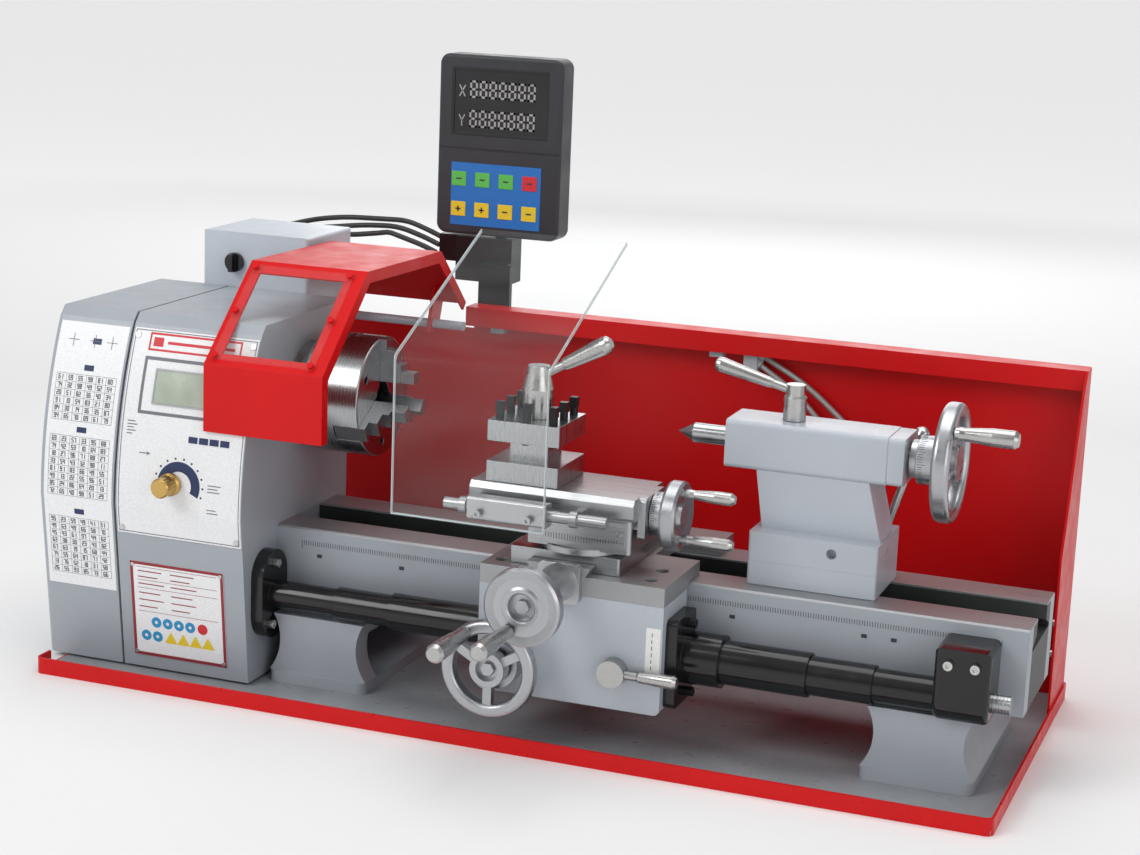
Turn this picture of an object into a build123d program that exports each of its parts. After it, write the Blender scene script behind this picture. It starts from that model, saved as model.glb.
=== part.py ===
from build123d import *
import os
from math import cos, sin, tan, pi, radians

# Bench lathe, 210 mm swing class. Frame: +X from the headstock to the tailstock, +Y to the back,
# +Z up; the origin is on the underside of the chip tray, below the spindle axis. Millimetres.

# --- driving dimensions -------------------------------------------------------------------
SPINDLE_Z = 232.9          # spindle axis above the underside of the tray
BED_TOP = 127.9            # top of the bed ways
BED_HALF = 56.2            # half the bed width
BED_BOTTOM = 60.0
BED_LEFT, BED_RIGHT = -223.4, 398.0

TRAY_LEFT, TRAY_RIGHT = -397.0, 397.0
TRAY_FRONT, TRAY_BACK = -149.0, 187.0
TRAY_RIM, SHEET = 13.5, 2.0

GUARD_TOP = 284.5          # top of the splash guard
GUARD_LEFT = -152.0

HEAD_LEFT, HEAD_SEAM, HEAD_RIGHT = -411.5, -340.0, -223.4
HEAD_TOP, HEAD_FLOOR, HEAD_BACK = 298.0, 4.0, 73.5
WALL = 3.0

SCREW_Y, SCREW_Z, SCREW_R = -79.0, 76.0, 9.0   # leadscrew axis and radius

FOOT_X = (-172.0, 326.0)   # middles of the two feet
FOOT_HALF_X, FOOT_HALF_Y = 40.5, 81.4
BOLT_Y, BOLT_R = 66.0, 5.5

CHUCK_R, CHUCK_BACK, CHUCK_FACE = 50.0, -208.0, -156.0
JAW_ANGLES = (90.0, 210.0, 330.0)              # from +Y towards +Z
BORE_R = 10.5              # through bore of the spindle

HOOD_LEFT, HOOD_RIGHT, HOOD_SHEET = -260.0, -155.0, 2.0
HINGE_Y, HINGE_Z, HINGE_R = 150.0, 269.0, 4.0  # chuck guard hinge rod

SADDLE_LEFT, SADDLE_RIGHT = -16.0, 134.0
SADDLE_FRONT, SADDLE_TOP, SEAM_Z = -118.0, 139.0, 124.0
APRON_BOTTOM = 38.0
SLIDE_LEFT, SLIDE_RIGHT = 3.0, 93.0            # cross slide
SLIDE_FRONT, SLIDE_BACK, SLIDE_TOP = -105.0, 65.0, 153.0
SWIVEL_X, SWIVEL_Y, SWIVEL_R = 55.0, -76.0, 36.0
BASE_LEFT, BASE_RIGHT, BASE_TOP = 16.0, 101.0, 184.0
TOP_LEFT, TOP_RIGHT, TOP_FRONT, TOP_BACK, TOP_Z = -30.0, 104.0, -111.0, -41.0, 201.5
POST_X, POST_Y, POST_HALF = 10.5, -76.0, 29.5
POST_Z = (201.8, 217.5, 233.5, 249.5)          # foot, slot floor, slot roof and top
ROD_Y, ROD_Z, ROD_R = -127.0, 186.0, 4.5       # rod that carries the clear tool shield

TAIL_LEFT, TAIL_RIGHT, TAIL_HALF = 174.0, 276.0, 37.0
BARREL_LEFT, BARREL_RIGHT, BARREL_HALF = 147.0, 275.0, 24.0
QUILL_R, RUN = 13.0, 0.05                      # quill radius, radial running clearance

MOTOR_Y, MOTOR_Z = -20.0, 62.0
BELT_X0, BELT_X1 = -378.0, -362.0
PULLEY_R, MOTOR_PULLEY_R = 40.0, 16.0
KNOB_X, KNOB_Z = -287.0, 168.0                 # speed knob on the front panel

READ_X0, READ_X1, READ_Y0, READ_Y1, READ_Z0, READ_Z1 = -199.5, -82.0, 200.0, 226.0, 343.0, 503.0
PIVOT_X, PIVOT_Y = -141.0, 214.0               # readout swivel
GLAND_X = (-350.0, -330.0, -310.0)
CABLE_R, LEAD_Y = 2.4, 174.0
LEADS = (((121, 265.5), (160, 245), (204, 208), (204, 167)),    # armoured leads, x and z
         ((117, 258.5), (152, 236.5), (190, 196), (190, 167)))

CARRIAGE_HUB = (5.0, -139.0, 65.0)
CROSS_HUB = (51.0, -190.0, 135.0)
TOP_HUB = (121.0, -76.0, 185.3)
TAIL_HUB = (312.0, 0.0, 234.0)
NUT_HUB = (97.0, -118.0, 69.0)
CLAMP_X, CLAMP_Z = 262.0, 158.0                # bed clamp lever of the tailstock
POST_SCREWS = [(a * 22, b * 22) for a in (-1, 0, 1) for b in (-1, 0, 1) if (a, b) != (0, 0)]

CENTER_MIN = (Align.CENTER, Align.CENTER, Align.MIN)


# --- helpers ------------------------------------------------------------------------------
def block(x0, x1, y0, y1, z0, z1):
    """A box between two corners."""
    middle = ((x0 + x1) / 2, (y0 + y1) / 2, (z0 + z1) / 2)
    return Pos(*middle) * Box(x1 - x0, y1 - y0, z1 - z0)


def rod(base, direction, radius, length):
    """A cylinder that starts at base and runs along direction."""
    return Plane(origin=base, z_dir=direction) * Cylinder(radius, length, align=CENTER_MIN)


def tube(base, direction, outer, inner, length):
    """A round tube that starts at base and runs along direction."""
    return rod(base, direction, outer, length) - rod(base, direction, inner, length)


def turned(points, base, direction):
    """A body of revolution from (radius, height) points, standing on base along direction."""
    outline = make_face(Plane.XZ * Polyline(*points, close=True))
    return Plane(origin=base, z_dir=direction) * revolve(outline, Axis.Z)


def prism_x(points, x0, x1):
    """A prism along X from (y, z) points."""
    section = make_face(Plane(origin=(x0, 0, 0), x_dir=(0, 1, 0), z_dir=(1, 0, 0))
                        * Polyline(*points, close=True))
    return extrude(section, x1 - x0, dir=(1, 0, 0))


def prism_y(points, y0, y1):
    """A prism along Y from (x, z) points."""
    section = make_face(Plane(origin=(0, y0, 0), x_dir=(1, 0, 0), z_dir=(0, -1, 0))
                        * Polyline(*points, close=True))
    return extrude(section, y1 - y0, dir=(0, 1, 0))


def soften(shape, axis, radius):
    """Round the edges that run along an axis."""
    return fillet(shape.edges().filter_by(axis), radius)


def screw_head(x, y, z, direction, radius=3.0, height=3.0):
    """A socket head with its hexagon recess, seated at a point."""
    seat = Plane(origin=(x, y, z), z_dir=direction)
    head = seat * Cylinder(radius, height, align=CENTER_MIN)
    recess = seat * (Pos(0, 0, height - 1.4) * extrude(RegularPolygon(radius * 0.5, 6), 1.4))
    return head - recess


def group(solids):
    """Several separate solids kept as one node."""
    return Compound(children=list(solids))


# --- tray and splash guard ----------------------------------------------------------------
def bolt_holes(z0, z1):
    """The four holes that bolt the machine to a bench."""
    spots = [(x, side * BOLT_Y, z0) for x in FOOT_X for side in (-1, 1)]
    holes = rod(spots[0], (0, 0, 1), BOLT_R, z1 - z0)
    for spot in spots[1:]:
        holes += rod(spot, (0, 0, 1), BOLT_R, z1 - z0)
    return holes


def chip_tray():
    """Folded tray with an upright rim; the left rim is cut away under the gear cover."""
    outer = soften(block(TRAY_LEFT, TRAY_RIGHT, TRAY_FRONT, TRAY_BACK, 0, TRAY_RIM), Axis.Z, 6)
    inner = block(TRAY_LEFT + SHEET, TRAY_RIGHT - SHEET, TRAY_FRONT + SHEET, TRAY_BACK - SHEET,
                  SHEET, TRAY_RIM + 1)
    notch = block(TRAY_LEFT - 1, TRAY_LEFT + SHEET, -128, HEAD_BACK + 10, SHEET, TRAY_RIM + 1)
    return outer - soften(inner, Axis.Z, 4.5) - notch - bolt_holes(-1, SHEET + 1)


def splash_guard():
    """Back sheet, lower behind the headstock, with a folded lip and a tapering end gusset."""
    back, right = TRAY_BACK - SHEET, TRAY_RIGHT - SHEET
    lip_front = back - 22
    sheet = block(GUARD_LEFT, right, back - SHEET, back, SHEET, GUARD_TOP)
    sheet += block(-300, GUARD_LEFT, back - SHEET, back, SHEET, 262)
    sheet += block(GUARD_LEFT, right, lip_front, back, GUARD_TOP - SHEET, GUARD_TOP)
    sheet += block(GUARD_LEFT, right, lip_front, lip_front + SHEET, GUARD_TOP - 17, GUARD_TOP)
    gusset = [(back, SHEET), (108, SHEET), (103, 140), (150, 266), (lip_front, GUARD_TOP),
              (back, GUARD_TOP)]
    sheet += prism_x(gusset, right - SHEET, right)
    corner = block(right - 4.5, right + 1, back - 4.5, back + 1, 0, GUARD_TOP + 1)
    return sheet - (corner - rod((right - 4.5, back - 4.5, 0), (0, 0, 1), 4.5, GUARD_TOP + 1))


def sheet_screws():
    """Fixings of the gusset and of the back sheet."""
    face = TRAY_RIGHT - 2 * SHEET
    back = TRAY_BACK - 2 * SHEET
    return ([screw_head(face, 118, z, (-1, 0, 0)) for z in (58, 84)]
            + [screw_head(x, back, 24, (0, -1, 0)) for x in (-260, -120, 40, 200, 360)])


# --- bed ----------------------------------------------------------------------------------
def rail(side):
    """One bed wall with its way; side is -1 at the front and 1 at the back."""
    points = [(side * BED_HALF, BED_TOP - 1.5), (side * (BED_HALF - 1.5), BED_TOP),
              (side * 22, BED_TOP), (side * 22, BED_TOP - 13), (side * 38, BED_TOP - 20),
              (side * 38, BED_BOTTOM + 14), (side * 30, BED_BOTTOM + 8), (side * 30, BED_BOTTOM),
              (side * BED_HALF, BED_BOTTOM)]
    return prism_x(points, BED_LEFT, BED_RIGHT)


def bed():
    """Cast bed: two walls with ways, joined by cross webs and end walls."""
    casting = rail(-1) + rail(1)
    webs = [(BED_LEFT, BED_LEFT + 10)] + [(x, x + 9) for x in range(-140, 380, 104)]
    webs += [(BED_RIGHT - 12, BED_RIGHT)]
    for x0, x1 in webs:
        casting += block(x0, x1, -39, 39, BED_BOTTOM, BED_TOP - 22)
    return casting


def foot(middle, open_side):
    """A hollow cast foot with waisted sides over a flange, open on one side in X."""
    top, waist, base = FOOT_HALF_X, FOOT_HALF_X - 6, FOOT_HALF_X + 3
    edge = ThreePointArc((middle + base, 12), (middle + waist, 34), (middle + top, BED_BOTTOM))
    edge += Line((middle + top, BED_BOTTOM), (middle - top, BED_BOTTOM))
    edge += ThreePointArc((middle - top, BED_BOTTOM), (middle - waist, 34), (middle - base, 12))
    edge += Line((middle - base, 12), (middle + base, 12))
    plane = Plane(origin=(0, -FOOT_HALF_Y, 0), x_dir=(1, 0, 0), z_dir=(0, -1, 0))
    body = extrude(plane * make_face(edge), 2 * FOOT_HALF_Y, dir=(0, 1, 0))
    flange = soften(block(middle - base, middle + base, -FOOT_HALF_Y - 3.5, FOOT_HALF_Y + 3.5,
                          SHEET, 12), Axis.Z, 8)
    inside = block(middle - waist + 7, middle + waist - 7, -FOOT_HALF_Y + 8, FOOT_HALF_Y - 8,
                   12, BED_BOTTOM - 8)
    ends = sorted((middle, middle + open_side * (base + 1)))
    window = block(ends[0], ends[1], -60, 60, 12, 48)
    return body + flange - inside - window - bolt_holes(0, 14)


def feet():
    """The two feet under the bed, each open towards the middle."""
    return group((foot(FOOT_X[0], 1), foot(FOOT_X[1], -1)))


def bed_rack():
    """Toothed rack under the bed's front wall, between the feet; each tooth is four points."""
    pitch, top, root, tip = 5.0, BED_BOTTOM, BED_BOTTOM - 5, BED_BOTTOM - 8
    start, teeth = FOOT_X[0] + FOOT_HALF_X + 6, 80
    points = [(start, top), (start, root)]
    for k in range(teeth):
        x = start + k * pitch
        points += [(x + 0.8, root), (x + 1.7, tip), (x + 3.2, tip), (x + 4.1, root)]
    end = start + teeth * pitch
    points += [(end, root), (end, top)]
    return prism_y(points, -52, -42)


# --- headstock ----------------------------------------------------------------------------
def front_outline(out, floor, top, back):
    """The headstock's side outline, moved forward by out."""
    low, knee, high = (-104 - out, floor), (-118.5 - out, 145), (-86 - out, 290)
    curve = Line(low, knee) + ThreePointArc(knee, (-111.3 - out, 210), high)
    curve += Line(high, (-79 - out, top)) + Line((-79 - out, top), (back, top))
    curve += Line((back, top), (back, floor)) + Line((back, floor), low)
    return curve


def front_prism(x0, x1, out=0.0, floor=HEAD_FLOOR, top=HEAD_TOP, back=HEAD_BACK):
    """The headstock's outline run from x0 to x1."""
    plane = Plane(origin=(x0, 0, 0), x_dir=(0, 1, 0), z_dir=(1, 0, 0))
    section = plane * make_face(front_outline(out, floor, top, back))
    return extrude(section, x1 - x0, dir=(1, 0, 0))


def front_skin(x0, x1, z0, z1, thick, lift=0.0):
    """A sheet of even thickness that lies on the headstock's curved front."""
    skin = front_prism(x0, x1, out=lift + thick) - front_prism(x0 - 1, x1 + 1, out=lift)
    return skin & block(x0, x1, -150, -60, z0, z1)


def hollow(x0, x1):
    """The room inside the headstock's walls, open underneath."""
    return front_prism(x0, x1, out=-WALL, floor=HEAD_FLOOR - 1, top=HEAD_TOP - WALL,
                       back=HEAD_BACK - WALL)


def knob_hole():
    """Clear hole for the speed knob's shaft."""
    return rod((KNOB_X, -100, KNOB_Z), (0, -1, 0), 3 + RUN, 30)


def headstock_shell():
    """Cover round the headstock, open to the gear side and cut out round the bed and spindle."""
    shell = front_prism(HEAD_SEAM + 1, HEAD_RIGHT)
    neck = rod((HEAD_RIGHT - 10, 0, SPINDLE_Z), (1, 0, 0), 40, 20)
    joint = block(HEAD_RIGHT - 5, HEAD_RIGHT + 5, -55, 55, 2, BED_TOP - 1)
    feed = rod((HEAD_RIGHT - 10, SCREW_Y, SCREW_Z), (1, 0, 0), 12, 20)
    return shell - hollow(HEAD_SEAM, HEAD_RIGHT - WALL) - neck - joint - feed - knob_hole()


def headstock_casting():
    """Iron block with the spindle bearing seats, and two studs for the gear cover."""
    x0 = HEAD_SEAM + 12
    casting = block(x0, HEAD_RIGHT - 4, -48, 48, BED_BOTTOM, 284)
    casting += block(x0, HEAD_RIGHT - 4, -60, 60, SHEET, BED_BOTTOM + 40)
    casting += block(HEAD_RIGHT - 4, HEAD_RIGHT, -55, 55, HEAD_FLOOR, BED_TOP - 1)
    casting -= block(x0 + 22, HEAD_RIGHT - 26, -36, 36, 110, 274)
    end = HEAD_LEFT + WALL
    for y, z in ((40, 275), (-50, 20)):
        casting += rod((end, y, z), (1, 0, 0), 4, x0 - end)
    return casting - rod((x0 - 1, 0, SPINDLE_Z), (1, 0, 0), 30, 120)


def spindle_bearings():
    """Two bearing rings pressed into the headstock casting."""
    x0 = HEAD_SEAM + 12
    return group(tube((x, 0, SPINDLE_Z), (1, 0, 0), 30, 17.5 + RUN, 20)
                 for x in (x0, HEAD_RIGHT - 25))


def gear_cover():
    """Removable cover over the belt drive, with a hole in line with the spindle bore."""
    cover = front_prism(HEAD_LEFT, HEAD_SEAM - 1)
    cover = fillet(cover.faces().sort_by(Axis.X)[0].edges(), 4)
    room = front_prism(HEAD_LEFT + WALL, HEAD_SEAM, out=-WALL, floor=HEAD_FLOOR + WALL,
                       top=HEAD_TOP - WALL, back=HEAD_BACK - WALL)
    return cover - room - rod((HEAD_LEFT - 1, 0, SPINDLE_Z), (1, 0, 0), 14, 10)


def control_panel():
    """White membrane panel on the upper front of the headstock."""
    return front_skin(HEAD_SEAM + 3, HEAD_RIGHT - 0.6, 121.4, 287, 1.2) - knob_hole()


def data_plates():
    """Feed chart on the gear cover and data plate on the lower front."""
    chart = front_skin(HEAD_LEFT + 5, HEAD_SEAM - 2.5, 68, 286, 0.5)
    return group((chart, front_skin(-328, -242, 15, 97.5, 0.8)))


def panel_screws():
    """Corner screws of the front panel, seated on its curved face."""
    spots = [(x, z) for x in (-333, -228) for z in (126, 282)]
    return [rod((x, -80, z), (0, -1, 0), 2.4, 50) & front_skin(x - 4, x + 4, z - 4, z + 4, 0.9, 1.2)
            for x, z in spots]


def speed_knob():
    """Fluted speed knob on a short shaft."""
    y = -119.9
    profile = [(0, 0), (9.5, 0), (9.5, 3), (8.2, 4.2), (8.2, 17), (7, 18.5), (0, 18.5)]
    knob = turned(profile, (KNOB_X, y, KNOB_Z), (0, -1, 0))
    for angle in range(0, 360, 30):
        x, z = 8.9 * cos(radians(angle)), 8.9 * sin(radians(angle))
        knob -= rod((KNOB_X + x, y - 4.2, KNOB_Z + z), (0, -1, 0), 1.1, 16)
    return knob + rod((KNOB_X, y, KNOB_Z), (0, 1, 0), 3, 10)


def switch_box():
    """Electrical box behind the headstock, with the hinge rod of the chuck guard."""
    box = block(-366, -264, HEAD_BACK, 160, 240, 346)
    box = fillet(box.edges().filter_by(Axis.Y) + box.edges().filter_by(Axis.Z), 3)
    box -= rod((-334, HEAD_BACK - 1, 319.6), (0, 1, 0), 3.0 + RUN, 12)
    return box + rod((-266, HINGE_Y, HINGE_Z), (1, 0, 0), HINGE_R, 118)


def switch_knob():
    """Round mains switch with a raised bar."""
    knob = rod((-334, HEAD_BACK - 0.4, 319.6), (0, -1, 0), 8.5, 4)
    knob += block(-336, -332, HEAD_BACK - 10.4, HEAD_BACK - 4.4, 312, 327.2)
    return knob + rod((-334, HEAD_BACK - 0.4, 319.6), (0, 1, 0), 3.0, 10)


# --- drive --------------------------------------------------------------------------------
def grooved_pulley(radius, bore, y, z):
    """A belt pulley with two cheeks."""
    wide = BELT_X1 - BELT_X0
    profile = [(bore, -2), (radius + 2, -2), (radius + 2, -0.4), (radius, 0), (radius, wide),
               (radius + 2, wide + 0.4), (radius + 2, wide + 2), (bore, wide + 2)]
    return turned(profile, (BELT_X0, y, z), (1, 0, 0))


def spindle():
    """Hollow spindle with its chuck flange and the driven pulley keyed to its outer end."""
    x0 = HEAD_LEFT + 10
    shaft = rod((x0, 0, SPINDLE_Z), (1, 0, 0), 17.5, CHUCK_BACK - x0)
    shaft += rod((-219, 0, SPINDLE_Z), (1, 0, 0), 36, 11)
    shaft += grooved_pulley(PULLEY_R, 16, 0, SPINDLE_Z)
    return shaft - rod((x0 - 1, 0, SPINDLE_Z), (1, 0, 0), BORE_R, 220)


def motor_pulley():
    """Driving pulley on its shaft."""
    pulley = grooved_pulley(MOTOR_PULLEY_R, 5, MOTOR_Y, MOTOR_Z)
    return pulley + rod((BELT_X0 - 4, MOTOR_Y, MOTOR_Z), (1, 0, 0), 6.0, 40)


def motor():
    """Round motor inside the headstock, fixed to the casting."""
    body = rod((-356, MOTOR_Y, MOTOR_Z), (1, 0, 0), 24, HEAD_SEAM + 12 + 356)
    return body - rod((-357, MOTOR_Y, MOTOR_Z), (1, 0, 0), 6.0 + RUN, 22)


def drive_belt():
    """Ribbed belt round both pulleys: the hull of two circles, less the hull inside it."""
    def loop(extra, x0, x1):
        plane = Plane(origin=(x0, 0, 0), x_dir=(0, 1, 0), z_dir=(1, 0, 0))
        big = Pos(0, SPINDLE_Z) * Circle(PULLEY_R + extra)
        small = Pos(MOTOR_Y, MOTOR_Z) * Circle(MOTOR_PULLEY_R + extra)
        outline = make_hull(big.edges() + small.edges())
        return extrude(plane * outline, x1 - x0, dir=(1, 0, 0))
    return loop(2.6, BELT_X0 + 1, BELT_X1 - 1) - loop(0.35, BELT_X0, BELT_X1)


# --- chuck --------------------------------------------------------------------------------
def radial(angle, distance, x=0.0):
    """A point at a distance from the spindle axis, at an angle from +Y towards +Z."""
    return (x, distance * cos(radians(angle)), SPINDLE_Z + distance * sin(radians(angle)))


def jaw_frame(angle, x):
    """Local frame of a jaw: local Z points outwards along its slot, local X along the spindle."""
    return Plane(origin=(x, 0, SPINDLE_Z), x_dir=(1, 0, 0),
                 z_dir=(0, cos(radians(angle)), sin(radians(angle))))


def chuck_body():
    """Three-jaw chuck body with jaw slots, scroll room and a key socket."""
    body = rod((CHUCK_BACK, 0, SPINDLE_Z), (1, 0, 0), CHUCK_R, CHUCK_FACE - CHUCK_BACK)
    body = fillet(body.edges(), 1.5)
    body -= rod((CHUCK_BACK - 1, 0, SPINDLE_Z), (1, 0, 0), 12, 60)
    body -= tube((-186, 0, SPINDLE_Z), (1, 0, 0), CHUCK_R + 1, CHUCK_R - 1.2, 2.5)
    for angle in JAW_ANGLES:
        slot = Pos(-8, 0, 31) * Box(30, 14.6, 60)
        body -= jaw_frame(angle, CHUCK_FACE) * slot
        body -= rod(radial(angle + 60, 38, CHUCK_FACE + 1), (-1, 0, 0), 3.4, 8)
    socket = Plane(origin=radial(150, 38, -196), x_dir=(1, 0, 0),
                   z_dir=(0, cos(radians(150)), sin(radians(150))))
    return body - socket * extrude(Rectangle(8, 8), 20)


def chuck_jaw(angle):
    """A stepped jaw that slides in its slot."""
    plane = jaw_frame(angle, CHUCK_FACE)
    jaw = plane * (Pos(-8.5, 0, 31.5) * Box(28, 14, 35))
    jaw += plane * (Pos(12, 0, 21.5) * Box(13.1, 14, 15))
    jaw += plane * (Pos(9, 0, 34.5) * Box(8, 14, 12))
    return jaw + plane * (Pos(24, 0, 18.5) * Box(12, 11, 9))


def window_frame():
    """Frame on the hood's sloping panel: local Y runs up the slope, local Z out of it."""
    return Plane(origin=(-210, -75, 305.5), x_dir=(1, 0, 0), z_dir=(0, -73, 80))


def chuck_guard():
    """Folded hood over the chuck with a window and its screws, hinge cheeks and a return edge."""
    outer = [(-115, 214), (-115, 269), (-35, 342), (112, 340), (170, 287)]
    inner = [(168.4, 285.7), (111.2, 338), (-34.2, 340), (-113, 268.1), (-113, 214)]
    hood = prism_x(outer + inner, HOOD_LEFT, HOOD_RIGHT)
    band = [(164, 281), (108, 330), (-31, 332), (-105, 264.6), (-105, 214)]
    hood += prism_x(outer + band, HOOD_RIGHT - HOOD_SHEET, HOOD_RIGHT)
    hood -= window_frame() * Box(76, 84, 12)
    cheek = [(169.2, 286.3), (151, 303.2), (140, 262), (160, 262)]
    for x in (HOOD_LEFT, HOOD_RIGHT - 25):
        hood += prism_x(cheek, x, x + 3)
    hood -= rod((HOOD_LEFT - 5, HINGE_Y, HINGE_Z), (1, 0, 0), HINGE_R + RUN, 120)
    spots = [(x, y) for x in (-42.5, 42.5) for y in (-46, 0, 46)]
    heads = [window_frame() * (Pos(x, y, 2.02) * Cylinder(2.8, 2, align=CENTER_MIN)) for x, y in spots]
    return group([hood] + heads)


def guard_window():
    """Clear pane over the hood's window."""
    return window_frame() * (Pos(0, 0, 1.02) * Box(90, 97, 2))


# --- readout ------------------------------------------------------------------------------
def readout_bracket():
    """Plate behind the splash guard, the swivel block of the readout and its clamp screw."""
    bracket = block(-150, -120, TRAY_BACK - SHEET, TRAY_BACK + 4, 215, 320)
    bracket += block(-180, -126, 202, 226, 301, 341)
    bracket += block(-150, -126, TRAY_BACK, 203, 301, 320)
    bracket += block(-198, -179, 206, 224, 317, 341)
    bracket -= rod((PIVOT_X, PIVOT_Y, 303), (0, 0, 1), 5 + RUN, 50)
    return bracket + turned([(0, 0), (5, 0), (5.5, 1), (5.5, 8), (4, 9), (4, 11), (0, 11)],
                            (PIVOT_X, PIVOT_Y, 290.5), (0, 0, 1))


def readout_case():
    """Rounded readout case with its pivot pin."""
    case = block(READ_X0, READ_X1, READ_Y0, READ_Y1, READ_Z0, READ_Z1)
    case = soften(case, Axis.Y, 9)
    case = fillet(case.faces().sort_by(Axis.Y)[0].edges(), 3)
    case -= block(READ_X0 - 1, READ_X1 + 1, READ_Y0 - 1, READ_Y0 + 1.2, 418.5, 420.5)
    case -= block(-187, -95, READ_Y0 - 1, READ_Y0 + 1, 432, 492)
    return case + rod((PIVOT_X, PIVOT_Y, 306), (0, 0, 1), 5, 38)


# --- leadscrew ----------------------------------------------------------------------------
def along_screw(x, radius, length):
    """A cylinder on the leadscrew axis."""
    return rod((x, SCREW_Y, SCREW_Z), (1, 0, 0), radius, length)


def leadscrew():
    """Leadscrew with turned ends."""
    return along_screw(-222, 7, 20) + along_screw(-206, SCREW_R, 536) + along_screw(328, 7, 64)


def left_flange():
    """Oval bearing flange on the headstock's side."""
    plane = Plane(origin=(HEAD_RIGHT, SCREW_Y, SCREW_Z), x_dir=(0, 0, 1), z_dir=(1, 0, 0))
    flange = extrude(plane * SlotCenterToCenter(30.5, 43.5), 10.5, dir=(1, 0, 0))
    return flange - along_screw(-225, 7 + RUN, 30)


def bearing_screws():
    """Cap screws of the two leadscrew bearing blocks."""
    return ([screw_head(HEAD_RIGHT + 10.5, y, z, (1, 0, 0), 3.6, 4) for y, z in ((-87, 52), (-79, 102))]
            + [screw_head(x, -97, 106, (0, -1, 0), 3.6, 4) for x in (347, 367)])


def frame_screws():
    """Screws of the splash guard, the front panel and the leadscrew bearings."""
    return group(sheet_screws() + panel_screws() + bearing_screws())


def right_bracket():
    """End bearing block on the front of the bed."""
    bracket = block(336, 378, -97, -BED_HALF, 60, 118)
    bracket = fillet(bracket.edges().filter_by(Axis.X).sort_by(Axis.Z)[:1], 14)
    bracket = fillet(bracket.edges().filter_by(Axis.Y), 5)
    return bracket - along_screw(330, 7 + RUN, 60)


def leadscrew_supports():
    """Oval flange, end bearing block and the fixed section of each screw cover."""
    left = tube((HEAD_RIGHT + 10.5, SCREW_Y, SCREW_Z), (1, 0, 0), 11.5, 10.2, 92)
    right = tube((250, SCREW_Y, SCREW_Z), (1, 0, 0), 13.2, 10.5, 86)
    return group((left_flange(), right_bracket(), left, right))


def screw_cover_middle():
    """Sliding middle section of each telescopic screw cover."""
    return group((tube((-155, SCREW_Y, SCREW_Z), (1, 0, 0), 13.1, 11.9, 80),
                  tube((198, SCREW_Y, SCREW_Z), (1, 0, 0), 15.0, 13.6, 92)))


def screw_cover_carriage():
    """Sections of the screw covers that the apron carries, with the right end's flange."""
    left = tube((SADDLE_LEFT - 90, SCREW_Y, SCREW_Z), (1, 0, 0), 15.0, 13.5, 90)
    right = tube((SADDLE_RIGHT, SCREW_Y, SCREW_Z), (1, 0, 0), 17.2, 15.4, 106)
    right += tube((SADDLE_RIGHT, SCREW_Y, SCREW_Z), (1, 0, 0), 20.5, 15.4, 38)
    flange = soften(block(SADDLE_RIGHT, SADDLE_RIGHT + 9, -110, -63, 42, 112), Axis.X, 5)
    return group((left, right + (flange - along_screw(SADDLE_RIGHT - 1, 15.4, 20))))


# --- carriage -----------------------------------------------------------------------------
def dovetail(low, high, gap):
    """Half-widths and heights of a dovetail section, widened by gap on every side."""
    return [(-low - gap, 0), (-high - gap, 7 + gap), (high + gap, 7 + gap), (low + gap, 0)]


def saddle():
    """Saddle that rides on the ways: wings, a front block over the apron, and a dovetail."""
    body = block(SADDLE_LEFT, SADDLE_RIGHT, SADDLE_FRONT, 62, BED_TOP + 0.3, SADDLE_TOP)
    body += block(SADDLE_LEFT, SADDLE_RIGHT, SADDLE_FRONT, -BED_HALF - 0.8, SEAM_Z, SADDLE_TOP)
    for x0, x1 in ((SADDLE_LEFT - 1, SLIDE_LEFT - 4), (SLIDE_RIGHT + 4, SADDLE_RIGHT + 1)):
        body -= block(x0, x1, -30, 26, BED_TOP - 1, SADDLE_TOP + 1)
    body += prism_y([(48 + x, SADDLE_TOP + z) for x, z in dovetail(22, 26, 0)], SADDLE_FRONT, 62)
    for x in (SADDLE_LEFT + 11, SADDLE_RIGHT - 17):
        for y in (-100, -72):
            body -= rod((x, y, SADDLE_TOP - 6), (0, 0, 1), 5, 8)
    return body


def carriage_screws():
    """Cap screws sunk in the saddle's wings and two on the apron's end flange."""
    screws = [screw_head(x, y, SADDLE_TOP - 6, (0, 0, 1), 4, 4)
              for x in (SADDLE_LEFT + 11, SADDLE_RIGHT - 17) for y in (-100, -72)]
    screws += [screw_head(SADDLE_RIGHT + 9, SCREW_Y - 1, SCREW_Z + dz, (1, 0, 0), 3.6, 6)
               for dz in (-27.5, 27.5)]
    return group(screws)


def apron():
    """Apron under the saddle, drilled for the leadscrew and the handwheel shaft."""
    body = block(SADDLE_LEFT, SADDLE_RIGHT, SADDLE_FRONT, -BED_HALF - 4.8, APRON_BOTTOM, SEAM_Z)
    body = fillet(body.edges().filter_by(Axis.Y).sort_by(Axis.Z)[:2], 5)
    body -= along_screw(SADDLE_LEFT - 1, 13, 160)
    body -= rod((CARRIAGE_HUB[0], SADDLE_FRONT - 1, CARRIAGE_HUB[2]), (0, 1, 0), 7 + RUN, 11)
    return body - rod((NUT_HUB[0], SADDLE_FRONT - 1, NUT_HUB[2]), (0, 1, 0), 6 + RUN, 11)


def feed_bracket():
    """Boss on the saddle's front that carries the cross feed screw."""
    x, z = CROSS_HUB[0], CROSS_HUB[2]
    boss = soften(block(x - 17, x + 17, SADDLE_FRONT - 7, SADDLE_FRONT, z - 17, z + 15), Axis.Y, 5)
    boss += turned([(7 + RUN, 0), (15, 0), (12.5, 30), (12.5, 47), (7 + RUN, 47)],
                   (x, SADDLE_FRONT - 6, z), (0, -1, 0))
    return boss - rod((x, SADDLE_FRONT + 1, z), (0, -1, 0), 7 + RUN, 60)


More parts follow.
